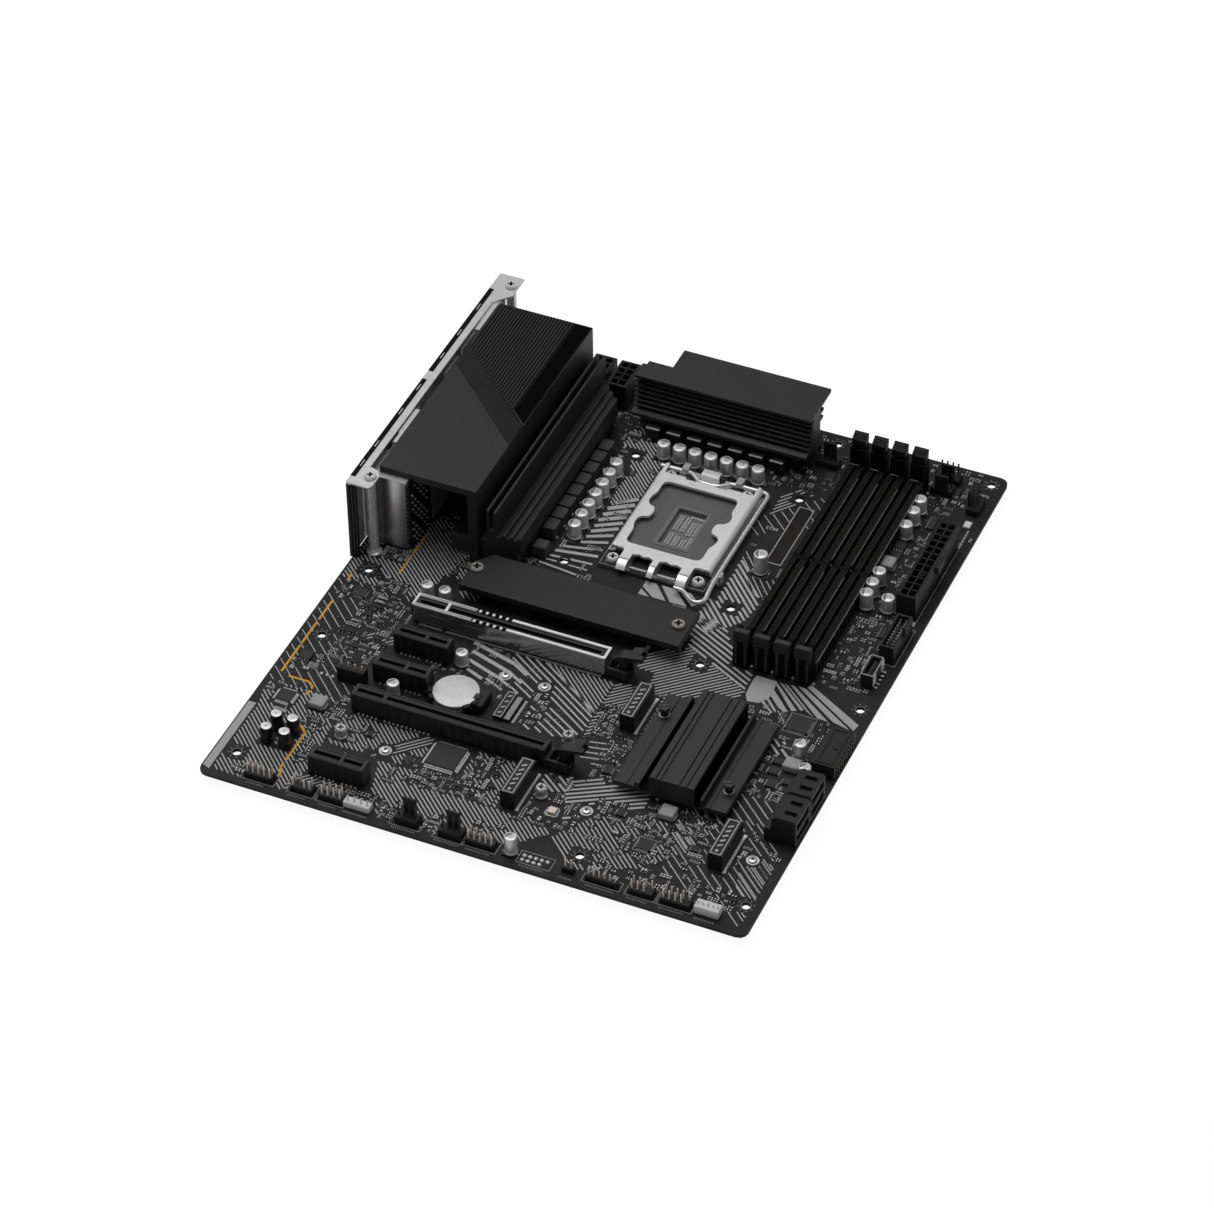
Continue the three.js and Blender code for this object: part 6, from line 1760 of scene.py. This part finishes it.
# ---------------------------------------------------------------- underside
joints = Mesh()


def joint(x, y, radius=0.75, height=1.2):
    joints.lathe(x, y, [(0.25, -height), (0.38, -height * 0.75), (radius * 0.75, -0.3),
                        (radius, -0.02)], 8)


for x in MEMORY_X:
    for k, y in enumerate(steps(149.0, 281, 0.88)):
        if not 211.0 < y < 214.4:
            joint(x + (-2.6, -0.8, 1.0, 2.8)[k % 4], y, 0.42, 0.8)
for k, end in ((5, 129.6), (2, 129.6), (4, 66.5), (3, 66.5), (0, 66.5)):
    for j, x in enumerate(steps(45.4, end, 1.0)):
        if not 55.8 < x < 57.8:
            for offset in ((-3.0, 1.2), (-1.2, 3.0))[j % 2]:
                joint(x, SLOT_Y[k] + offset, 0.48, 0.9)
for x, y in EPS_PINS + ATX_PINS:
    joint(x, y, 1.1, 1.5)
for y in USB_PIN_Y:
    joint(235.4, y)
    joint(237.8, y)
# headers: x0, x1, columns, rows
for x0, x1, columns, rows in (
        (19.4, 32.2, 5, 2), (40.4, 50.4, 4, 2), (53.4, 64.2, 4, 2), (119.4, 132.2, 5, 2),
        (191.2, 201.8, 4, 2), (205.0, 217.8, 5, 2), (172.4, 186.6, 6, 1), (64.8, 76.6, 4, 1),
        (219.8, 230.4, 5, 1), (143.33, 156.0, 5, 2)):
    for i in range(columns):
        for j in range(rows):
            joint(x0 + (x1 - x0) * (i + 0.5) / columns, 5.85 + 2.5 * j)
for x in (93.0, 112.6):
    for i in range(4):
        joint(x + (i - 1.5) * 2.54, 6.6)
# port blocks: first y, joints along y, depth along x
for y, count, depth in ((161.5, 7, 16), (183, 7, 17), (203, 6, 14), (222.4, 7, 15),
                        (245, 4, 10), (262.4, 9, 14)):
    for i in range(count):
        for j in range(4):
            joint(3.4 + depth / 4 * j, y + 2.2 * i, 0.7, 1.3)
for y in DATA_PORT_Y:
    for i in range(7):
        for j in range(2):
            joint(231.0 + 2.2 * j, y + 1.6 + 2.0 * i, 0.55, 1.0)
for i in range(8):
    joint(73.4, 190.8 + 8.33 * i, 1.5, 0.9)
    joint(73.4, 194.6 + 8.33 * i, 1.5, 0.9)
put("solder_joints_underside", joints, "solder")


def underside_taken(x, y):
    return (98 < x < 152 and 180 < y < 253
            or any(abs(x - a) < 5.6 and abs(y - b) < 5.6 for a, b in BOARD_HOLES + COOLER_HOLES)
            or any(abs(x - a) < 4.6 for a in MEMORY_X) and y > 145
            or any(abs(y - SLOT_Y[k]) < 4.2 for k in (0, 2, 3, 4, 5)) and 43 < x < 133
            or x > 226 or y < 11 or (x < 24 and y > 158))


part = Mesh()
for _ in range(230):
    x, y = random_source.uniform(8, 236), random_source.uniform(8, 296)
    if not underside_taken(x, y):
        vertical = random_source.random() < 0.5
        length, width = (1.8, 0.9) if random_source.random() < 0.4 else (1.1, 0.6)
        two_ended(part, x, y, length, width, vertical,
                  body=(0.0, 0.0, -0.55, -0.02), ends=(-0.02, -0.57, 0.0))
put("underside_chip_parts", part, "ceramic_tan solder")
part = Mesh()
for x, y in [(45, 176), (45, 262), (66, 172), (66, 277), (82, 296), (154, 296), (104, 296),
             (168, 62), (206, 108)] + DRIVE_COVER_SCREWS:
    part.lathe(x, y, [(2.0, -1.35), (2.5, -1.1), (2.6, -0.7), (2.6, -0.02)], 24, 0)
    part.lathe(x, y, [(0.9, -1.4), (0.9, -1.3)], 6, 1)
put("underside_cover_screws", part, "bright_steel blackened_steel")
part = Mesh()
for x, y in BOARD_HOLES[:9]:
    part.annulus(x, y, 4.35, 2.0, 40, -0.17, -0.1)
put("underside_ground_rings", part, "bare_pad")

# ---------------------------------------------------------------- studio, in metres
scene = bpy.context.scene
floor_mesh = bpy.data.meshes.new("floor")
floor_mesh.from_pydata([(x, y, -0.0035) for x, y in rectangle(-6, 6, -6, 6)], [], [(0, 1, 2, 3)])
floor = bpy.data.objects.new("floor", floor_mesh)
scene.collection.objects.link(floor)


def pale_floor():
    """Matt white that glows for camera rays and a little in reflections."""
    g = Graph("floor_pale")
    clouds = g.remap(g.noise(g.mapped((1, 1, 1)), 3.0), 0.3, 0.7)
    g.shade(Base_Color=g.mix(clouds, 0.86, 0.88), Roughness=0.9, Specular_IOR_Level=0.1)
    rays = g.node("ShaderNodeLightPath").outputs
    glow = g.node("ShaderNodeEmission", Strength=1.07)
    blend = g.node("ShaderNodeMixShader")
    g.feed(blend.inputs[0], g.math("MULTIPLY_ADD", rays["Is Camera Ray"], 0.88,
                                   g.math("MULTIPLY", rays["Is Glossy Ray"], 0.10)))
    g.feed(blend.inputs[1], g.shader.outputs[0])
    g.feed(blend.inputs[2], glow.outputs[0])
    g.feed(g.output.inputs[0], blend.outputs[0])


pale_floor()
floor_mesh.materials.append(materials["floor_pale"])


def lamp(name, place, aim, size, power):
    light = bpy.data.lights.new(name, "AREA")
    light.shape = "RECTANGLE"
    light.size = light.size_y = size
    light.energy = power
    obj = bpy.data.objects.new(name, light)
    obj.location = place
    obj.rotation_euler = (Vector(aim) - Vector(place)).to_track_quat("-Z", "Y").to_euler()
    scene.collection.objects.link(obj)


lamp("overhead", place=(-0.25, 0.30, 1.7), aim=(0, 0, 0), size=1.3, power=17)
lamp("back", place=(-1.3, 1.1, 1.0), aim=(0, 0, 0.02), size=0.7, power=4)
lamp("side", place=(1.6, 0.6, 0.9), aim=(0, 0, 0.02), size=0.7, power=1.6)
lamp("front", place=(0.4, -1.7, 0.9), aim=(0, 0, 0.02), size=0.8, power=0.8)

# white world, its strength set per kind of ray
world = bpy.data.worlds.new("studio")
scene.world = world
world.use_nodes = True
nodes, links = world.node_tree.nodes, world.node_tree.links
nodes.clear()
world_output = nodes.new("ShaderNodeOutputWorld")
background = nodes.new("ShaderNodeBackground")
background.inputs[0].default_value = (1, 1, 1, 1)
world_rays = nodes.new("ShaderNodeLightPath").outputs
by_gloss, by_camera = nodes.new("ShaderNodeMapRange"), nodes.new("ShaderNodeMapRange")
links.new(world_rays["Is Glossy Ray"], by_gloss.inputs[0])
by_gloss.inputs["To Min"].default_value = 0.20  # all other rays
by_gloss.inputs["To Max"].default_value = 0.13  # reflections
links.new(world_rays["Is Camera Ray"], by_camera.inputs[0])
links.new(by_gloss.outputs[0], by_camera.inputs["To Min"])
by_camera.inputs["To Max"].default_value = 1.06  # the backdrop itself
links.new(by_camera.outputs[0], background.inputs[1])
links.new(background.outputs[0], world_output.inputs[0])

camera_data = bpy.data.cameras.new("camera")
camera_data.lens = 138.39
camera_data.sensor_width = 36.0
camera_data.clip_start = 0.05
camera_data.clip_end = 60
camera = bpy.data.objects.new("camera", camera_data)
view_axes = Matrix(((0.91533396, -0.25988911, 0.30760591),
                    (0.402552, 0.61091985, -0.68171022),
                    (-0.01075349, 0.74781989, 0.66381456)))
camera.matrix_world = Matrix.Translation((0.605154, -1.351180, 1.323476)) @ view_axes.to_4x4()
scene.collection.objects.link(camera)
scene.camera = camera
scene.view_settings.view_transform = "Standard"
